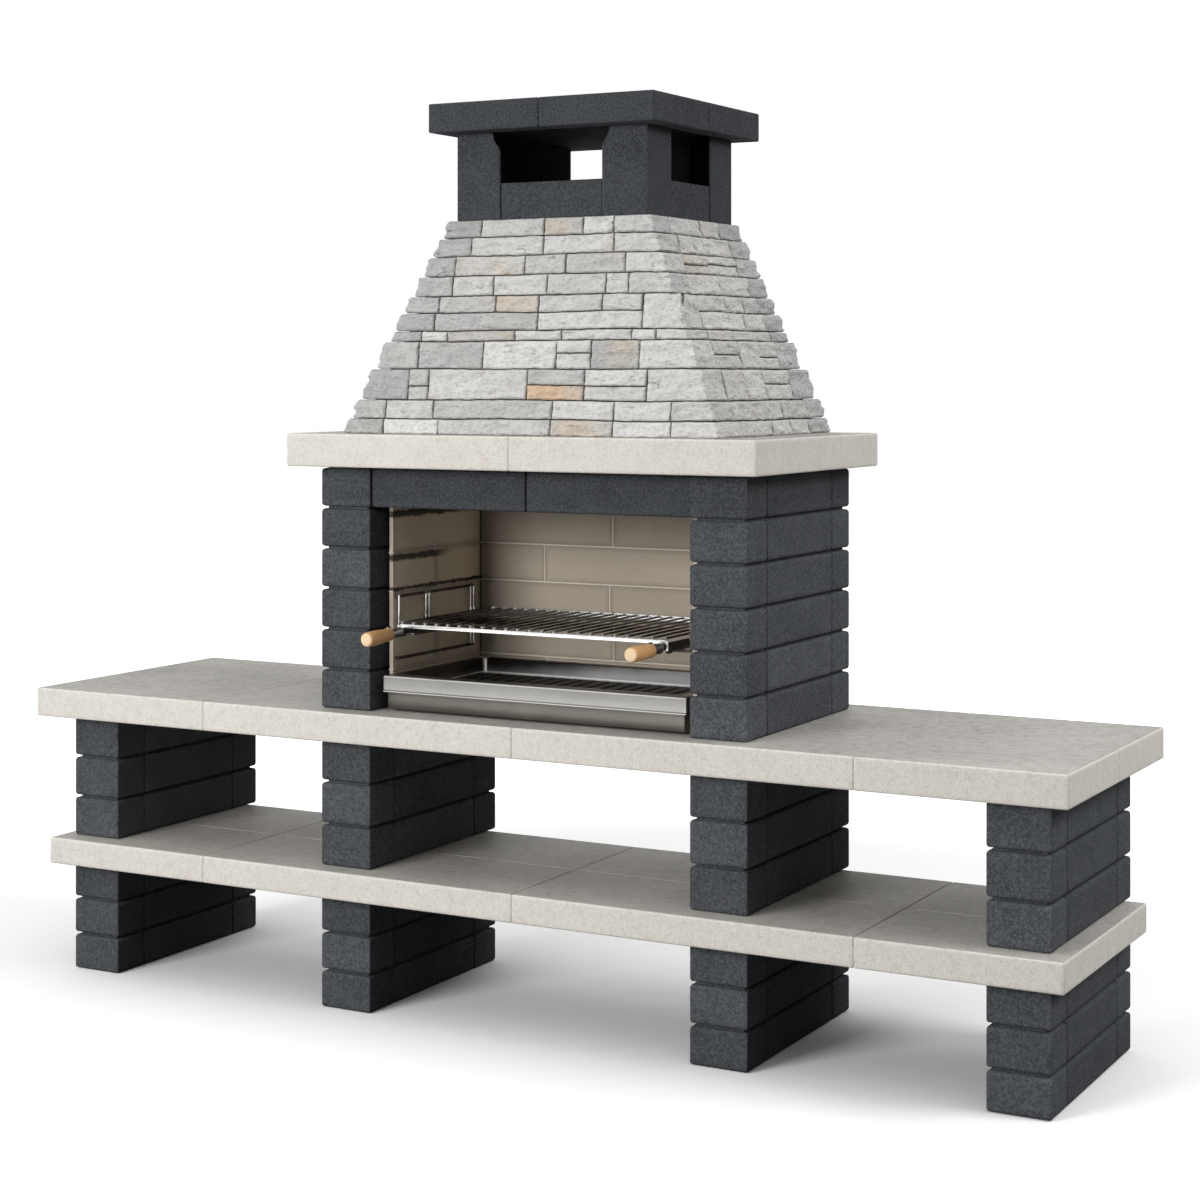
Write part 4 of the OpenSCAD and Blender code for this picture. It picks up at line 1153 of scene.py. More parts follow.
# Stones of each course from the foot up, in millimetres from the middle of the firebox.
# Each stone is (end, tone, warmth): it runs from the end of the stone before it. A fourth
# value makes it two stones, one on the other: it is "split", or the lower one's warmth.
# None of them ends a side at its corner stone.
FRONT = (
    (-443, [(-268, 0.85, 0.0), (78, 0.55, 0.1), (263, 0.5, 0.75), (431, 0.85, 0.0)]),
    (-441, [(-289, 0.6, 0.25), (78, 0.45, 0.0), (261, 0.75, 0.0), (426, 0.75, 0.0)]),
    (-376, [(-313, 0.45, 0.0, "split"), (-5, 0.7, 0.1), (167, 0.55, 0.0, 0.95),
            (350, 0.8, 0.0, "split")]),
    (-355, [(-151, 0.35, 0.15), (73, 0.95, 0.0), (177, 0.7, 0.0, "split"), (320, 0.35, 0.45)]),
    (-354, [(-271, 0.85, 0.15), (-61, 0.45, 0.6), (81, 0.7, 0.0), (289, 0.75, 0.0),
            (360, 0.85, 0.0)]),
    (-317, [(5, 0.4, 0.0), (317, 0.8, 0.05)]),
    (-309, [(-130, 0.5, 0.25), (2, 0.75, 0.85), (194, 0.6, 0.3), (312, 0.65, 0.15)]),
    (-273, [(-143, 0.65, 0.0), (23, 0.75, 0.0), (200, 0.6, 0.1), (266, 0.7, 0.0)]),
    (-271, [(-52, 0.65, 0.55), (72, 0.55, 0.3), (251, 0.5, 0.4)]),
    (-227, [(-3, 0.7, 0.0), (210, 0.75, 0.3)]),
    (-202, [(-6, 0.6, 0.05), (113, 0.55, 0.6), (205, 0.95, 0.0)]),
)
RIGHT = (
    (-187, [(9, 0.35, 0.1), (127, 0.45, 0.15), (245, 0.4, 0.0)]),
    (-194, [(110, 0.35, 0.15), (275, 0.3, 0.0)]),
    (-183, [(-60, 0.4, 0.2), (60, 0.55, 0.3), (231, 0.5, 0.2, "split")]),
    (-170, [(-15, 0.5, 0.2, "split"), (110, 0.45, 0.3), (227, 0.35, 0.0, "split")]),
    (-151, [(1, 0.5, 0.45), (121, 0.45, 0.2), (246, 0.4, 0.0)]),
    (-153, [(107, 0.75, 0.1), (233, 0.55, 0.0)]),
    (-153, [(34, 0.45, 0.1), (148, 0.5, 0.25), (240, 0.3, 0.0)]),
    (-143, [(46, 0.6, 0.45), (229, 0.55, 0.3)]),
    (-119, [(25, 0.45, 0.6, "split"), (207, 0.6, 0.3, "split")]),
    (-101, [(-12, 0.55, 0.0), (208, 0.6, 0.2)]),
    (-111, [(74, 0.5, 0.15), (190, 0.45, 0.4)]),
)
# Corner stones that are two courses high, as (the side before the corner, the lower course)
TALL_CORNERS = (("front", 5),)
# What each vertex of a stone says: how pale and how tan it is, and how near its rim
STONE_LAYERS = ("tone", "warm", "edge")
# Depth of a stone behind its face, and how far apart the points on its face are
STONE_DEPTH = 0.017
ACROSS_PITCH, UP_PITCH = 0.009, 0.007
# Width of a stone's broken arris, how deep it falls, and how far the face fades towards it
ARRIS_WIDTH, ARRIS_DROP, FADE = 0.0056, 0.0062, 0.012
# How much further back the arris of a corner stone lies on the corner itself
CORNER_DROP = 0.0022


class Hood:
    """The hood's plane: half width, front and back at any height, from the CAD nodes' boxes."""

    def __init__(self):
        low, high = corners(*["cladding_" + side for side in SIDES])
        collar_low, collar_high = corners("post_front_left", "post_back_right")
        self.foot_z, self.top_z = low.z, high.z
        self.foot = (high.x - MIDDLE.x, low.y, high.y)
        self.top = (collar_high.x - MIDDLE.x + 0.006, collar_low.y - 0.013, collar_high.y + 0.003)
        self.levels = [self.foot_z + (self.top_z - self.foot_z) * sum(COURSES[:i]) / sum(COURSES)
                       for i in range(len(COURSES) + 1)]

    def plane(self, z):
        share = (z - self.foot_z) / (self.top_z - self.foot_z)
        return [a + (b - a) * share for a, b in zip(self.foot, self.top)]

    def outline(self, course, z):
        """Half width, front and back of a course at height z: its top leans out into a ledge."""
        down, up = self.levels[course], self.levels[course + 1]
        share = 0.6 * (z - down) / (up - down)
        return [a + (b - a) * share for a, b in zip(self.plane(down), self.plane(up))]

    def point(self, course, side, along, z, out):
        """A point on a side at a place along it (x or y), pushed out level by out.
        side may be a pair of sides, for the corner where they meet."""
        half, front, back = self.outline(course, z)
        x = MIDDLE.x + (half + out if "right" in side else -half - out)
        y = front - out if "front" in side else back + out
        if side in ("front", "back"):
            x = along
        elif side in ("left", "right"):
            y = along
        return Vector((x, y, z))

    def uneven(self, point):
        """The point raised or lowered a little, so that level joints wander as laid stone does."""
        x, y, z = point
        inside = min((z - self.foot_z) / 0.03, (self.top_z - z) / 0.03, 1.0)
        broad = noise.noise(Vector((x * 5, y * 5, z * 9)))
        fine = noise.noise(Vector((x * 38, y * 38, z * 20)))
        rise = (0.003 * broad + 0.0014 * fine) * max(inside, 0.0)
        return point + Vector((0.0, 0.0, rise))


def steps_between(a, b, pitch):
    """Places from a to b: close together at both ends, evenly between."""
    length = abs(b - a)
    sign = 1 if b > a else -1
    near = [0.0, 0.0018, 0.0055, 0.012]
    if length < 0.034:
        near = [0.0, length * 0.06, length * 0.18, length * 0.35]
    middle = length - 2 * near[-1]
    count = max(int(round(middle / pitch)), 1)
    distances = near + [near[-1] + middle * i / count for i in range(1, count)]
    distances += [length - distance for distance in reversed(near)]
    return [a + sign * distance for distance in distances]


def stone_columns(stretches):
    """The upright lines of a stone's face, as (side, place, distance from the stone's ends).
    On a corner itself the side is the pair of sides that meet there."""
    columns = []
    for number, (side, start, stop) in enumerate(stretches):
        places = steps_between(start, stop, ACROSS_PITCH)
        whole = abs(places[-1] - start)
        for place in places:
            length = abs(place - start)
            if len(stretches) == 1:
                columns.append((side, place, min(length, whole - length)))
            elif number == 1 and place != places[0]:
                columns.append((side, place, whole - length))
            elif number == 0 and place != places[-1]:
                columns.append((side, place, length))
            elif number == 0:
                columns.append(((side, stretches[1][0]), 0.0, math.inf))
    return columns


def split_stone(bm, hood, course, down, up, stretches, tone, warm, seed):
    """One stone. stretches lists (side, from, to): one for a plain stone, two round a corner."""
    stones = bpy.context.scene.barbecue_stones
    layers = [bm.verts.layers.float[name] for name in STONE_LAYERS]
    rows = steps_between(down, up, UP_PITCH)
    columns = stone_columns(stretches)
    # Painted shade: a corner stone's part on the left or right side is darker
    painted_side_shade = 0.1 if len(stretches) == 2 else 0.0
    tilt = noise.noise(Vector((seed * 1.7, 3.1, 0.4))) * 0.0025

    def vertex_at(side, place, z, out, *values):
        vertex = bm.verts.new(hood.uneven(hood.point(course, side, place, z, out)))
        for layer, value in zip(layers, values):
            vertex[layer] = value
        return vertex

    def split_face(side, place, outer, z):
        """A vertex of the broken face, lower towards the rim."""
        rim = min(z - down, up - z, outer)
        raw = hood.point(course, side, place, z, 0.0)
        probe = Vector((raw.x * 26, raw.y * 26, raw.z * 60)) + Vector((seed * 9.1, 0, 0))
        relief = noise.fractal(probe, 0.9, 2.1, 4) * stones.relief
        ledge = abs(noise.noise(probe * 0.45 + Vector((0, seed, 5)))) * stones.relief * 1.3
        fade = min(rim / FADE, 1.0)
        arris = (ARRIS_DROP * (1.0 - min(rim / ARRIS_WIDTH, 1.0)) ** 2
                 * (1.0 + 0.5 * noise.noise(raw * 45)))
        out = stones.stand + tilt + (relief - ledge) * (0.35 + 0.65 * fade) - arris
        if outer == math.inf:
            out -= CORNER_DROP
        if rim == 0.0 or outer == 0.0:
            out += 0.0009 * noise.noise(raw * 70 + Vector((0, 0, seed)))
        aside = painted_side_shade if side in ("left", "right") else 0.0
        return vertex_at(side, place, z, out, tone - aside, warm, 1.0 - min(rim / 0.004, 1.0))

    def sunk(column, row):
        side, place, _ = columns[column]
        # Painted shade: the sunk sides in the joints are darker
        return vertex_at(side, place, rows[row], -STONE_DEPTH, tone * 0.5, warm, 1.0)

    grid = [[split_face(*column, z) for z in rows] for column in columns]
    last, top = len(grid) - 1, len(rows) - 1
    low_line = [sunk(i, 0) for i in range(last + 1)]
    high_line = [sunk(i, top) for i in range(last + 1)]
    first_line = [low_line[0]] + [sunk(0, j) for j in range(1, top)] + [high_line[0]]
    last_line = [low_line[-1]] + [sunk(last, j) for j in range(1, top)] + [high_line[-1]]
    for i in range(last):
        for j in range(top):
            bm.faces.new((grid[i][j], grid[i + 1][j], grid[i + 1][j + 1], grid[i][j + 1]))
        bm.faces.new((low_line[i], low_line[i + 1], grid[i + 1][0], grid[i][0]))
        bm.faces.new((grid[i][top], grid[i + 1][top], high_line[i + 1], high_line[i]))
        if 0 < i < last - 1:
            bm.faces.new((low_line[i + 1], low_line[i], high_line[i], high_line[i + 1]))
    for j in range(top):
        bm.faces.new((first_line[j], grid[0][j], grid[0][j + 1], first_line[j + 1]))
        bm.faces.new((grid[last][j], last_line[j], last_line[j + 1], grid[last][j + 1]))
    bm.faces.new(first_line + [high_line[1], low_line[1]])
    bm.faces.new([low_line[last - 1], high_line[last - 1]] + list(reversed(last_line)))


def unseen_run(chance, side, start, stop, tall):
    """Stones of a course that the photograph doesn't show, laid by chance."""
    total = chance.choice((2, 3, 3)) if side == "left" else chance.choice((3, 4))
    run = []
    for i in range(1, total + 1):
        wander = chance.uniform(-0.28, 0.28) if i < total else 0.0
        kind = ("split",) if tall and chance.random() < 0.35 else ()
        run.append((start + (stop - start) * (i + wander) / total, chance.uniform(0.3, 0.9),
                    chance.choice((0.0, 0.0, 0.1, 0.3, 0.7))) + kind)
    return run


def stone_rows(hood):
    """Every stone as (course, down, up, side, stretches, tone, warmth)."""
    stones = bpy.context.scene.barbecue_stones
    chance = random.Random(stones.seed)
    half_joint = stones.joint / 2
    # The way along each side on which its stones follow each other, seen as a coordinate
    ways = {"front": 1, "right": 1, "back": -1, "left": -1}
    rows = []
    for course in range(len(COURSES)):
        down = hood.levels[course] + (0.0 if course == 0 else half_joint)
        up = hood.levels[course + 1] - (0.0 if course == len(COURSES) - 1 else half_joint)
        half, front, back = hood.plane((down + up) / 2)
        x0, x1 = MIDDLE.x - half, MIDDLE.x + half
        quoin = [chance.uniform(0.095, 0.125) for _ in range(6)]
        starts = {"front": at(FRONT[course][0], 0, 0).x, "right": at(0, RIGHT[course][0], 0).y,
                  "back": x1 - quoin[0], "left": back - quoin[1]}
        runs = {"front": [(at(stone[0], 0, 0).x,) + stone[1:] for stone in FRONT[course][1]],
                "right": [(at(0, stone[0], 0).y,) + stone[1:] for stone in RIGHT[course][1]]}
        for side, stop in (("back", x0 + quoin[2]), ("left", front + quoin[3])):
            runs[side] = unseen_run(chance, side, starts[side], stop, up - down > 0.06)
        for side in SIDES:
            gap = ways[side] * half_joint
            place = starts[side]
            for end, tone, warm, *split in runs[side]:
                parts = [(down, up, tone, warm)]
                if split:
                    cut = down + (up - down) * chance.uniform(0.42, 0.55)
                    below = warm if split[0] == "split" else split[0]
                    parts = [(down, cut - half_joint, tone + chance.uniform(-0.15, 0.1), below),
                             (cut + half_joint, up, tone + chance.uniform(-0.1, 0.15), warm)]
                for low, high, shade, warmth in parts:
                    # Painted light: stones on the right side are made paler
                    lit = 0.22 if side == "right" else 0.0
                    rows.append((course, low, high, side, [(side, place + gap, end - gap)],
                                 shade + lit, warmth))
                place = end
        # A corner stone runs from the last joint of one side to the first joint of the next
        for side, following, end, begin, tone in (
                ("left", "front", front, x0, 0.35), ("front", "right", x1, front, 0.7),
                ("right", "back", back, x1, 0.5), ("back", "left", x0, back, 0.4)):
            if (side, course - 1) in TALL_CORNERS:
                continue
            high = hood.levels[course + 2] - half_joint if (side, course) in TALL_CORNERS else up
            stretches = [(side, runs[side][-1][0] + ways[side] * half_joint, end),
                         (following, begin, starts[following] - ways[following] * half_joint)]
            rows.append((course, down, high, side, stretches, tone + chance.uniform(-0.12, 0.12),
                         0.0))
    return rows


class BARBECUE_OT_stones(bpy.types.Operator):
    """Clads the hood in split stones, with corner stones that run round its edges"""

    bl_idname = "barbecue.stones"
    bl_label = "Split stone"

    def execute(self, context):
        hood = Hood()
        meshes = {side: bmesh.new() for side in SIDES}
        for bm in meshes.values():
            for name in STONE_LAYERS:
                bm.verts.layers.float.new(name)
        for seed, (course, down, up, side, *rest) in enumerate(stone_rows(hood)):
            split_stone(meshes[side], hood, course, down, up, *rest, seed)
        for side, bm in meshes.items():
            stands_for(made_object("stones_" + side, bm, finish("split_stone")), "cladding_" + side)
        return {"FINISHED"}


# Racks, grill and handles


def row_of(tree, given, shape):
    """Ends a tree with copies of a shape in a row."""
    points = tree.line(given["Count"], given["First"], given["Step"])
    tree.end(tree.copies(points, shape), given["Material"])


def row_of_rods(tree, given):
    """A row of round rods along Y, side by side, with rounded ends."""
    radius = given["Diameter"] / 2.0
    rods = [tree.add("GeometryNodeMeshCylinder", None, {
        "Vertices": 14, "Radius": radius * part, "Depth": given["Length"] - shorter})
        for part, shorter in ((1.0, 0.0022), (0.72, 0.0))]
    row_of(tree, given, tree.add("GeometryNodeTransform", None, {
        "Geometry": tree.joined(*rods), "Rotation": (math.pi / 2, 0.0, 0.0)}))


def row_of_slats(tree, given):
    """A row of flat bars, side by side."""
    row_of(tree, given, tree.add("GeometryNodeMeshCube", None, {"Size": given["Size"]}))


# The Geometry Nodes trees: what builds each of them, and its inputs with their defaults
TREES = {
    "Block courses": (block_courses, {
        "Low": ("Vector", None), "Size": ("Vector", None), "Row": ("Vector", (0.0, 1.0, 0.0)),
        "Courses": ("Int", 3), "End length": ("Float", 0.12), "Joint": ("Float", 0.004),
        "Bed": ("Float", 0.006), "Sharpness": ("Float", 0.34), "Core depth": ("Float", 0.014),
        "Seed": ("Int", 0), "Material": ("Material", None)}),
    "Round bars": (round_bars, {
        "Geometry": ("Geometry", None), "Diameter": ("Float", 0.008), "Sides": ("Int", 12),
        "Unevenness": ("Float", 0.0), "Seed": ("Float", 0.0), "Material": ("Material", None)}),
    "Row of rods": (row_of_rods, {
        "First": ("Vector", None), "Step": ("Vector", None), "Count": ("Int", 23),
        "Length": ("Float", 0.485), "Diameter": ("Float", 0.006),
        "Material": ("Material", None)}),
    "Row of slats": (row_of_slats, {
        "First": ("Vector", None), "Step": ("Vector", None), "Count": ("Int", 19),
        "Size": ("Vector", None), "Material": ("Material", None)}),
}


def bent(points, radius):
    """A path through points with its corners rounded."""
    points = [Vector(point) for point in points]
    path = [points[0]]
    for before, corner, after in zip(points, points[1:], points[2:]):
        arrive, leave = before - corner, after - corner
        reach = min(radius, arrive.length * 0.45, leave.length * 0.45)
        start = corner + arrive.normalized() * reach
        stop = corner + leave.normalized() * reach
        for i in range(6):
            t = i / 5
            path.append(start.lerp(corner, t).lerp(corner.lerp(stop, t), t))
    return path + [points[-1]]


# How far the handles, their bars and the rails under them stand outside the middle of their nodes
OUTWARD = 0.008
# Gap between the grill's side bars and the rails that carry them
REST_CLEAR = 0.0003
# How far over the rail a rack's uprights end in a bend
ELBOW = 0.010


def side_bar_reach():
    """Distance of the grill's side bars from the middle: they run on the racks' inner rails."""
    wire = bpy.context.scene.barbecue_grill.wire_diameter
    return corners("rack_right")[0].x - MIDDLE.x + wire / 2 + OUTWARD


class BARBECUE_OT_racks(bpy.types.Operator):
    """Bends the wire racks on the side linings"""

    bl_idname = "barbecue.racks"
    bl_label = "Racks"

    def execute(self, context):
        grill = context.scene.barbecue_grill
        wire = grill.wire_diameter
        level = corners("grill")[0].z - REST_CLEAR - wire / 2
        elbow = level + ELBOW
        for hand, way in HANDS:
            node = "rack_" + hand
            low, high = corners(node)
            lining = corners("lining_" + hand)[way < 0].x
            face = lining + way * FACE_BACK
            plane = lining - way * (grill.rack_stand + wire / 2)
            rail = MIDDLE.x + way * side_bar_reach()
            front, back = low.y + wire, high.y - wire
            middle = low.y + grill.rack_pair
            beside = middle + 2 * wire
            bottom, top = low.z + wire / 2, high.z - wire / 2
            browned = [[(rail, low.y, level), (rail, high.y, level)],
                       [(plane, back, level), (rail, back, level)],
                       [(plane, beside, elbow), (plane, beside, level)]]
            browned += [bent([(face, front, z), (plane, front, z), (plane, back, z),
                              (face, back, z)], 0.006) for z in (bottom, top)]
            browned += [bent([(plane, y, elbow), (plane, y, level), (rail, y, level)], 0.009)
                        for y in (front, middle)]
            bright = [[(plane, y, bottom - 0.002), (plane, y, top + 0.002)]
                      for y in (back, back - 2 * wire)]
            bright += [[(plane, y, top + 0.0035), (plane, y, elbow)]
                       for y in (front, middle, beside)]
            wires = [along_paths("%s_%s" % (node, name), paths, wire, material, 14)
                     for name, paths, material in (("level", browned, finish("browned_wire")),
                                                   ("upright", bright, finish("bright_chrome")))]
            stands_for(joined_pieces("wires_" + node, wires), node)
        return {"FINISHED"}


# The bars across the grill's front and back
BAR_HEIGHT, BAR_THICKNESS = 0.010, 0.005
# The bright end of a rod, as (distance along it, radius as a share of the rod's diameter)
ROD_END = ((0.0, 0.34), (0.0008, 0.52), (0.004, 0.68), (0.012, 0.68), (0.0145, 0.52))


class BARBECUE_OT_grill(bpy.types.Operator):
    """Welds the cooking grill: rods, end bars and the side bars of the handles"""

    bl_idname = "barbecue.grill"
    bl_label = "Grill"

    def execute(self, context):
        grill = context.scene.barbecue_grill
        low, high = corners("grill")
        rod = grill.rod_diameter
        top = high.z - rod / 2
        # The front bar's front face and the back bar's back face
        front, back = at(0, -303, 0).y, high.y - BAR_THICKNESS
        first = low.x + rod
        step = (high.x - low.x - 2 * rod) / (grill.rods - 1)
        rods = grown("grill_rods", "Row of rods", first=Vector((first, (front + back) / 2, top)),
                     step=Vector((step, 0.0, 0.0)), count=grill.rods, diameter=rod,
                     length=back + 0.010 - front, material=finish("browned_wire"))
        plain(rods)
        bright = bmesh.new()
        bar_high = top - rod / 2 - 0.0008
        bar_low = bar_high - BAR_HEIGHT
        for y, edge in ((front, bar_high), (back - BAR_THICKNESS, high.z + 0.0008)):
            rounded_box(bright, (low.x, y, bar_low), (high.x, y + BAR_THICKNESS, edge), 0.0012)
        for i in range(grill.rods):
            for y, way in ((front - 0.0045, 1), (back + 0.0045, -1)):
                turned(bright, Vector((first + i * step, y, top)), (0, way, 0),
                       [(along, rod * part) for along, part in ROD_END], 12)
        black = bmesh.new()
        for _, way in HANDS:
            x = MIDDLE.x + way * side_bar_reach()
            # The left side bar takes slot 1, the lighter steel, as painted light
            # Side bar, the hook round it, the hook's pin, and the clip on the front bar
            rounded_box(black, (x - 0.0025, low.y, low.z), (x + 0.0025, back, low.z + 0.018),
                        0.001, slot=1 if way < 0 else 0)
            rounded_box(black, (x + way * 0.0060, front + 0.001, low.z - 0.008),
                        (x + way * 0.0160, front + 0.029, low.z + 0.009), 0.0048, 4)
            rounded_box(black, (x, front + 0.003, low.z + 0.002),
                        (x + way * 0.0110, front + 0.012, low.z + 0.008), 0.001)
            rounded_box(bright, (x + way * 0.0100, front - 0.0035, low.z + 0.001),
                        (x + way * 0.0165, front + 0.0015, bar_high - 0.002), 0.0012)
        bright = made_object("grill_bright", bright, finish("plated_bar"))
        black = made_object("grill_black", black, finish("scaled_steel"), finish("steel_painted_lit"))
        stands_for(joined_pieces("grill_welded", [rods, bright, black]), "grill")
        return {"FINISHED"}


# A grip's profile from its socket to its tip, as (distance, radius), and the length and
# radius that it is drawn for
GRIP = ((0.0, 0.0125), (0.0012, 0.0148), (0.005, 0.0162), (0.011, 0.0166), (0.017, 0.0160),
        (0.023, 0.0152), (0.030, 0.0154), (0.040, 0.0164), (0.055, 0.0174), (0.080, 0.0179),
        (0.104, 0.0177), (0.1115, 0.0172), (0.1150, 0.0160), (0.1172, 0.0140), (0.118, 0.0125),
        (0.118, 0.006))
GRIP_LENGTH, GRIP_RADIUS = 0.118, 0.018


class BARBECUE_OT_handles(bpy.types.Operator):
    """Turns the two wooden handles and their steel sockets"""

    bl_idname = "barbecue.handles"
    bl_label = "Handles"

    def execute(self, context):
        grill = context.scene.barbecue_grill
        socket = grill.socket
        for hand, way in HANDS:
            node = "handle_" + hand
            tilt = getattr(grill, hand + "_tilt")
            low, high = corners(node)
            start = Vector(((low.x + high.x) / 2 + way * OUTWARD, high.y, (low.z + high.z) / 2))
            axis = Vector((0.0, -math.cos(tilt), -math.sin(tilt)))
            reach = (high.y - low.y - 0.001) / math.cos(tilt) - 0.0008 - socket
            thicker = (high.x - low.x) / 2 / GRIP_RADIUS
            wood = bmesh.new()
            end = wood.verts.layers.float.new("end")
            rings = turned(wood, start, axis, [
                (socket + along * reach / GRIP_LENGTH, radius * thicker)
                for along, radius in GRIP], 44)
            for vertex in sum(rings[-3:], []):
                vertex[end] = 1.0
            wood = made_object(node + "_wood", wood, finish("turned_wood"))
            steel = bmesh.new()
            turned(steel, start, axis, [
                (-0.002, 0.0115), (0.0, 0.0130), (0.003, 0.0136), (socket - 0.008, 0.0118),
                (socket - 0.006, 0.0128), (socket, 0.0130), (socket + 0.0015, 0.0110)], 32)
            rounded_box(steel, start + Vector((-0.0042, -0.006, -0.0095)),
                        start + Vector((0.0042, 0.016, 0.0085)), 0.002)
            wing = start + axis * (socket + 0.003) + Vector((0.0, 0.0, 0.0165))
            rounded_box(steel, wing - Vector((0.003, 0.010, 0.006)),
                        wing + Vector((0.003, 0.008, 0.0052)), 0.0028, 3)
            # The left socket takes the lighter steel, as painted light
            steel = made_object(node + "_socket", steel,
                                finish("steel_painted_lit" if way < 0 else "blued_steel"))
            stands_for(joined_pieces("turned_" + node, [wood, steel]), node)
        return {"FINISHED"}


# Ember tray


def ring_of_corners(half, front, back, radius, z):
    """A rectangle with rounded corners about the firebox's middle, counter-clockwise."""
    centres = ((half - radius, front + radius, -90), (half - radius, back - radius, 0),
               (-half + radius, back - radius, 90), (-half + radius, front + radius, 180))
    points = []
    for x, y, start in centres:
        for i in range(6):
            turn = math.radians(start + 90 * i / 5)
            points.append(Vector((MIDDLE.x + x + radius * math.cos(turn),
                                  y + radius * math.sin(turn), z)))
    return points


def pressed_sheet(bm, rings, thickness):
    """A sheet through rings of points, closed at its last ring, with a real thickness below it."""
    upper, lower = [[[bm.verts.new(point - Vector((0, 0, drop))) for point in ring]
                     for ring in rings] for drop in (0.0, thickness)]
    for i in range(len(rings) - 1):
        bridged(bm, upper[i], upper[i + 1])
        bridged(bm, lower[i + 1], lower[i])
    bm.faces.new(upper[-1])
    bm.faces.new(list(reversed(lower[-1])))
    bridged(bm, lower[0], upper[0])


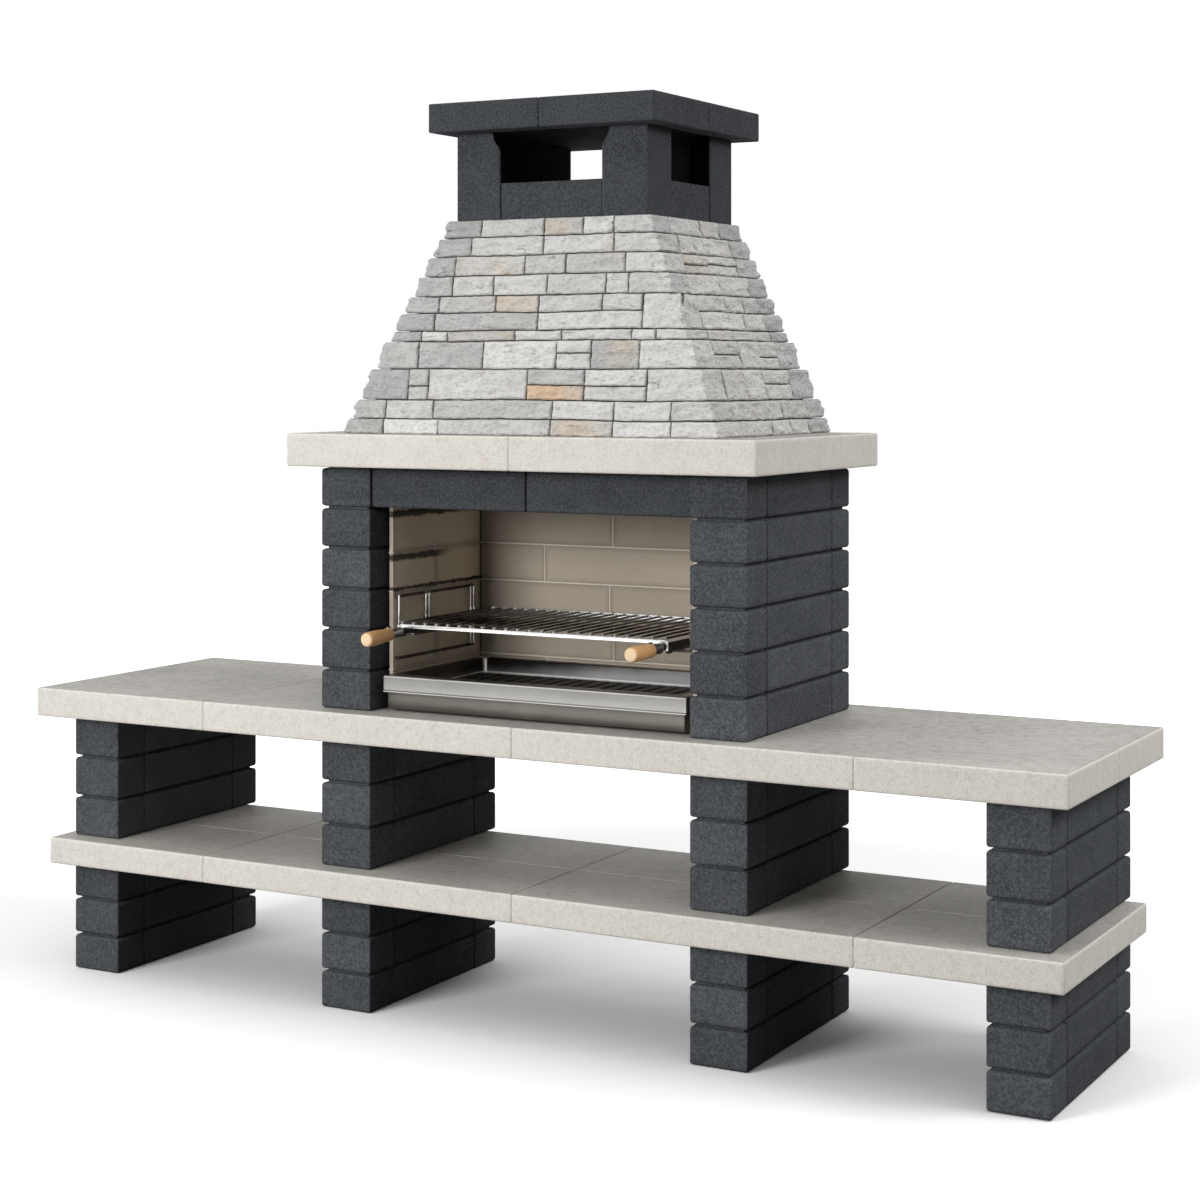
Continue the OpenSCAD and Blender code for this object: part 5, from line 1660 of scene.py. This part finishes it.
class BARBECUE_OT_tray(bpy.types.Operator):
    """Folds the ember tray and its base, and lays the charcoal grate in it"""

    bl_idname = "barbecue.tray"
    bl_label = "Ember tray"

    def execute(self, context):
        tray = context.scene.barbecue_tray
        steel = finish("brushed_steel", brushed_steel(ALONG_X, tuple(tray.steel_colour), 0.34))
        pieces = [self.basin(tray.sheet), self.band(steel), self.ends(steel)]
        stands_for(joined_pieces("folded_tray", pieces), "ember_tray")
        stands_for(self.base(), "tray_base")
        stands_for(joined_pieces("laid_grate", self.grate(tray.grate_bars)), "charcoal_grate")
        return {"FINISHED"}

    def basin(self, sheet):
        """The pressed hollow for the embers, and the flange round it."""
        low, high = corners("ember_tray")
        grate = corners("charcoal_grate")[1]
        flange_front = corners("lining_left")[0].y - 0.004
        flange_half = corners("tray_base")[1].x - MIDDLE.x
        half, front, back = grate.x - MIDDLE.x + 0.020, low.y + 0.006, grate.y + 0.050
        rim, floor = high.z, low.z + sheet + 0.0005
        rings = [ring_of_corners(flange_half, flange_front, high.y, 0.003, rim - 0.0004)]
        for inset, z, radius in (
                (0.0, rim, 0.010), (0.0012, rim - 0.0006, 0.010), (0.0024, rim - 0.003, 0.010),
                (0.004, floor + 0.006, 0.010), (0.0055, floor + 0.002, 0.009),
                (0.009, floor, 0.007)):
            rings.append(ring_of_corners(half - inset, front + inset, back - inset, radius, z))
        bm = bmesh.new()
        pressed_sheet(bm, rings, sheet)
        inside = finish("heated_steel", heated_steel(floor, rim, half, back))
        return made_object("tray_basin", bm, inside, recalculate=False)

    def band(self, steel):
        """The folded front: a closed outline of (y, z) points, drawn out along X."""
        low, high = corners("ember_tray")
        front, foot, rim = low.y, low.z, high.z
        back = corners("lining_left")[0].y - 0.002
        inside = [(back, rim - 0.0022), (front + 0.004, rim - 0.0022),
                  (front + 0.0026, rim - 0.0036), (front + 0.0022, rim - 0.0052),
                  (front + 0.0022, foot + 0.0030), (front + 0.009, foot + 0.0022),
                  (front + 0.009, foot)]
        turns = [math.radians(-100 - 20 * step) for step in range(9)]
        hem = [(front - 0.0002 + 0.0026 * math.cos(turn), foot + 0.0026 + 0.0026 * math.sin(turn))
               for turn in turns]
        face = [(front + 0.0006, foot + 0.0062), (front, foot + 0.0068)]
        bead = [(front, rim - 0.0046), (front + 0.0008, rim - 0.0018),
                (front + 0.0026, rim - 0.0004), (front + 0.005, rim)]
        outline = inside + hem + face + bead + [(back, rim)]
        bm = bmesh.new()
        left, right = [[bm.verts.new((x, y, z)) for y, z in outline]
                       for x in (2 * MIDDLE.x - high.x, high.x)]
        strips = bridged(bm, left, right)
        bm.faces.new(list(reversed(left)))
        bm.faces.new(right)
        # Painted highlights: the hem and the bead take the brighter steel
        for run in (hem, bead):
            start = outline.index(run[0])
            for strip in strips[start:start + len(run) - 1]:
                strip.material_index = 1
        return made_object("tray_band", bm, steel, finish("bright_hem"))

    def ends(self, steel):
        low, high = corners("ember_tray")
        lining_front = corners("lining_left")[0].y
        bm = bmesh.new()
        for _, way in HANDS:
            outer = MIDDLE.x + way * (high.x - MIDDLE.x)
            rounded_box(bm, (outer, low.y + 0.001, low.z + 0.001),
                        (outer - way * 0.0024, lining_front - 0.003, high.z - 0.001), 0.0005)
        return made_object("tray_ends", bm, steel)

    def base(self):
        """The base's hull, the lip along its front, and its three runners."""
        low, high = corners("tray_base")
        bm = bmesh.new()
        rounded_box(bm, (low.x, low.y, low.z + 0.006), (high.x, high.y, high.z - 0.0012),
                    0.0018, 3)
        rounded_box(bm, (low.x + 0.002, low.y - 0.0015, high.z - 0.006),
                    (high.x - 0.002, low.y + 0.004, high.z - 0.001), 0.0009)
        for x in (low.x + 0.04, MIDDLE.x - 0.02, high.x - 0.08):
            rounded_box(bm, (x, low.y + 0.04, low.z), (x + 0.04, high.y - 0.04, low.z + 0.008),
                        0.0015)
        return made_object("folded_base", bm, finish("dull_steel"))

    def grate(self, count, bar=0.030, thick=0.004):
        """Flat bars from front to back on three crossbars."""
        low, high = corners("charcoal_grate")
        wide, deep = high.x - low.x, high.y - low.y
        rows = (
            ("grate_slats", count, (low.x + bar / 2, (low.y + high.y) / 2, high.z - thick / 2),
             ((wide - bar) / (count - 1), 0.0, 0.0), (bar, deep, thick)),
            ("grate_crossbars", 3, (MIDDLE.x, low.y + 0.035, low.z + thick / 2),
             (0.0, (deep - 0.070) / 2, 0.0), (wide, bar, thick)))
        pieces = []
        for name, number, first, step, size in rows:
            pieces.append(grown(
                name, "Row of slats", first=Vector(first), step=Vector(step), count=number,
                size=Vector(size), material=finish("scaled_steel")))
            bevelled(pieces[-1], 0.0011, 2)
        return pieces


# Stage


class BARBECUE_OT_stage(bpy.types.Operator):
    """Sets the camera, the floor and the lamps"""

    bl_idname = "barbecue.stage"
    bl_label = "Stage"

    def execute(self, context):
        scene = context.scene
        settings = scene.barbecue_stage
        lens = bpy.data.cameras.new("camera")
        lens.sensor_width, lens.lens, lens.shift_y = 36.0, settings.lens, -0.18923
        lens.clip_end = 60.0
        camera = bpy.data.objects.new("camera", lens)
        camera.location = at(3090.95, -5584.8, 1743.85)
        camera.rotation_euler = (math.pi / 2, 0.0, settings.heading)
        scene.collection.objects.link(camera)
        scene.camera = camera

        bm = bmesh.new()
        bmesh.ops.create_grid(bm, x_segments=2, y_segments=2, size=30.0)
        bm.transform(Matrix.Translation((0.0, 0.0, -0.0005)))
        made_object("floor", bm, self.floor_material(), recalculate=False)

        for name, place, aim, size, power in (
                ("key", (-2.0, -6.5, 2.4), (0.0, 0.0, 1.0), 2.6, settings.key),
                ("fill", (6.5, 0.6, 4.9), (0.5, 0.0, 1.1), 2.4, settings.fill)):
            lamp = bpy.data.lights.new(name, "AREA")
            lamp.energy, lamp.size = power, size
            holder = bpy.data.objects.new(name, lamp)
            holder.location = place
            towards = Vector(aim) - Vector(place)
            holder.rotation_euler = towards.to_track_quat("-Z", "Y").to_euler()
            holder.visible_glossy = False
            scene.collection.objects.link(holder)
        self.light_all_round(scene, settings)
        scene.view_settings.view_transform = "Standard"
        return {"FINISHED"}

    def seen_directly(self, tree):
        """1 for what the camera sees, directly or in a bright surface."""
        path = tree.add("ShaderNodeLightPath", output="Is Camera Ray")
        rays = path + path.output("Is Glossy Ray") + path.output("Is Transmission Ray")
        return tree.clamped(rays)

    def light_all_round(self, scene, settings):
        """White where the camera sees it, and a soft light that is stronger from above."""
        world = bpy.data.worlds.new("surroundings")
        scene.world = world
        world.use_nodes = True
        tree = Tree(world.node_tree)
        background = world.node_tree.nodes["Background"]
        seen = self.seen_directly(tree)
        way = tree.add("ShaderNodeTexCoord", output="Generated")
        up = tree.between(tree.parts(way, "Z"), 0.2, 1.0)
        light = settings.horizon + up * (settings.overhead - settings.horizon)
        tree.feed(background, "Color", (1.0, 1.0, 1.0, 1.0))
        tree.feed(background, "Strength", light + seen * (1.0 - light))

    def floor_material(self):
        """White ground that takes a soft shadow and throws little light back."""
        material = bpy.data.materials.new("floor")
        material.use_nodes = True
        nodes = material.node_tree.nodes
        nodes.remove(nodes["Principled BSDF"])
        tree = Tree(material.node_tree)
        seen = self.seen_directly(tree)
        away = tree.vector_math("LENGTH", tree.place(), output="Value")
        far = tree.between(away, 2.2, 4.2)
        shadowed = tree.add("ShaderNodeBsdfDiffuse", None, {
            "Color": tree.mix(seen, (0.12, 0.12, 0.12), (1.2, 1.2, 1.2))})
        lit = tree.add("ShaderNodeEmission", None, {"Strength": seen * (far * 0.6 + 0.01)})
        both = tree.add("ShaderNodeAddShader", None, (shadowed, lit))
        tree.links.new(both.socket, nodes["Material Output"].inputs["Surface"])
        return material


OPERATORS = (
    BARBECUE_OT_stage, BARBECUE_OT_blocks, BARBECUE_OT_slabs, BARBECUE_OT_chimney,
    BARBECUE_OT_bricks, BARBECUE_OT_stones, BARBECUE_OT_racks, BARBECUE_OT_grill,
    BARBECUE_OT_handles, BARBECUE_OT_tray)


class BARBECUE_PT_pieces(bpy.types.Panel):
    """Lists the pieces of the barbecue and their sizes"""

    bl_idname = "BARBECUE_PT_pieces"
    bl_label = "Masonry Barbecue"
    bl_space_type = "VIEW_3D"
    bl_region_type = "UI"
    bl_category = "Barbecue"

    def draw(self, context):
        for operator in OPERATORS:
            self.layout.operator(operator.bl_idname)
        for name, group in SETTINGS.items():
            box = self.layout.box()
            for key in group.__annotations__:
                box.prop(getattr(context.scene, name), key)


def register():
    for group in SETTINGS.values():
        bpy.utils.register_class(group)
    for name, group in SETTINGS.items():
        setattr(bpy.types.Scene, name, bpy.props.PointerProperty(type=group))
    for operator in OPERATORS:
        bpy.utils.register_class(operator)
    bpy.utils.register_class(BARBECUE_PT_pieces)


def unregister():
    bpy.utils.unregister_class(BARBECUE_PT_pieces)
    for operator in reversed(OPERATORS):
        bpy.utils.unregister_class(operator)
    for name, group in reversed(SETTINGS.items()):
        delattr(bpy.types.Scene, name)
        bpy.utils.unregister_class(group)


def main():
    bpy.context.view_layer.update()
    register()
    for operator in OPERATORS:
        area, name = operator.bl_idname.split(".")
        getattr(getattr(bpy.ops, area), name)()


if __name__ == "__main__":
    main()
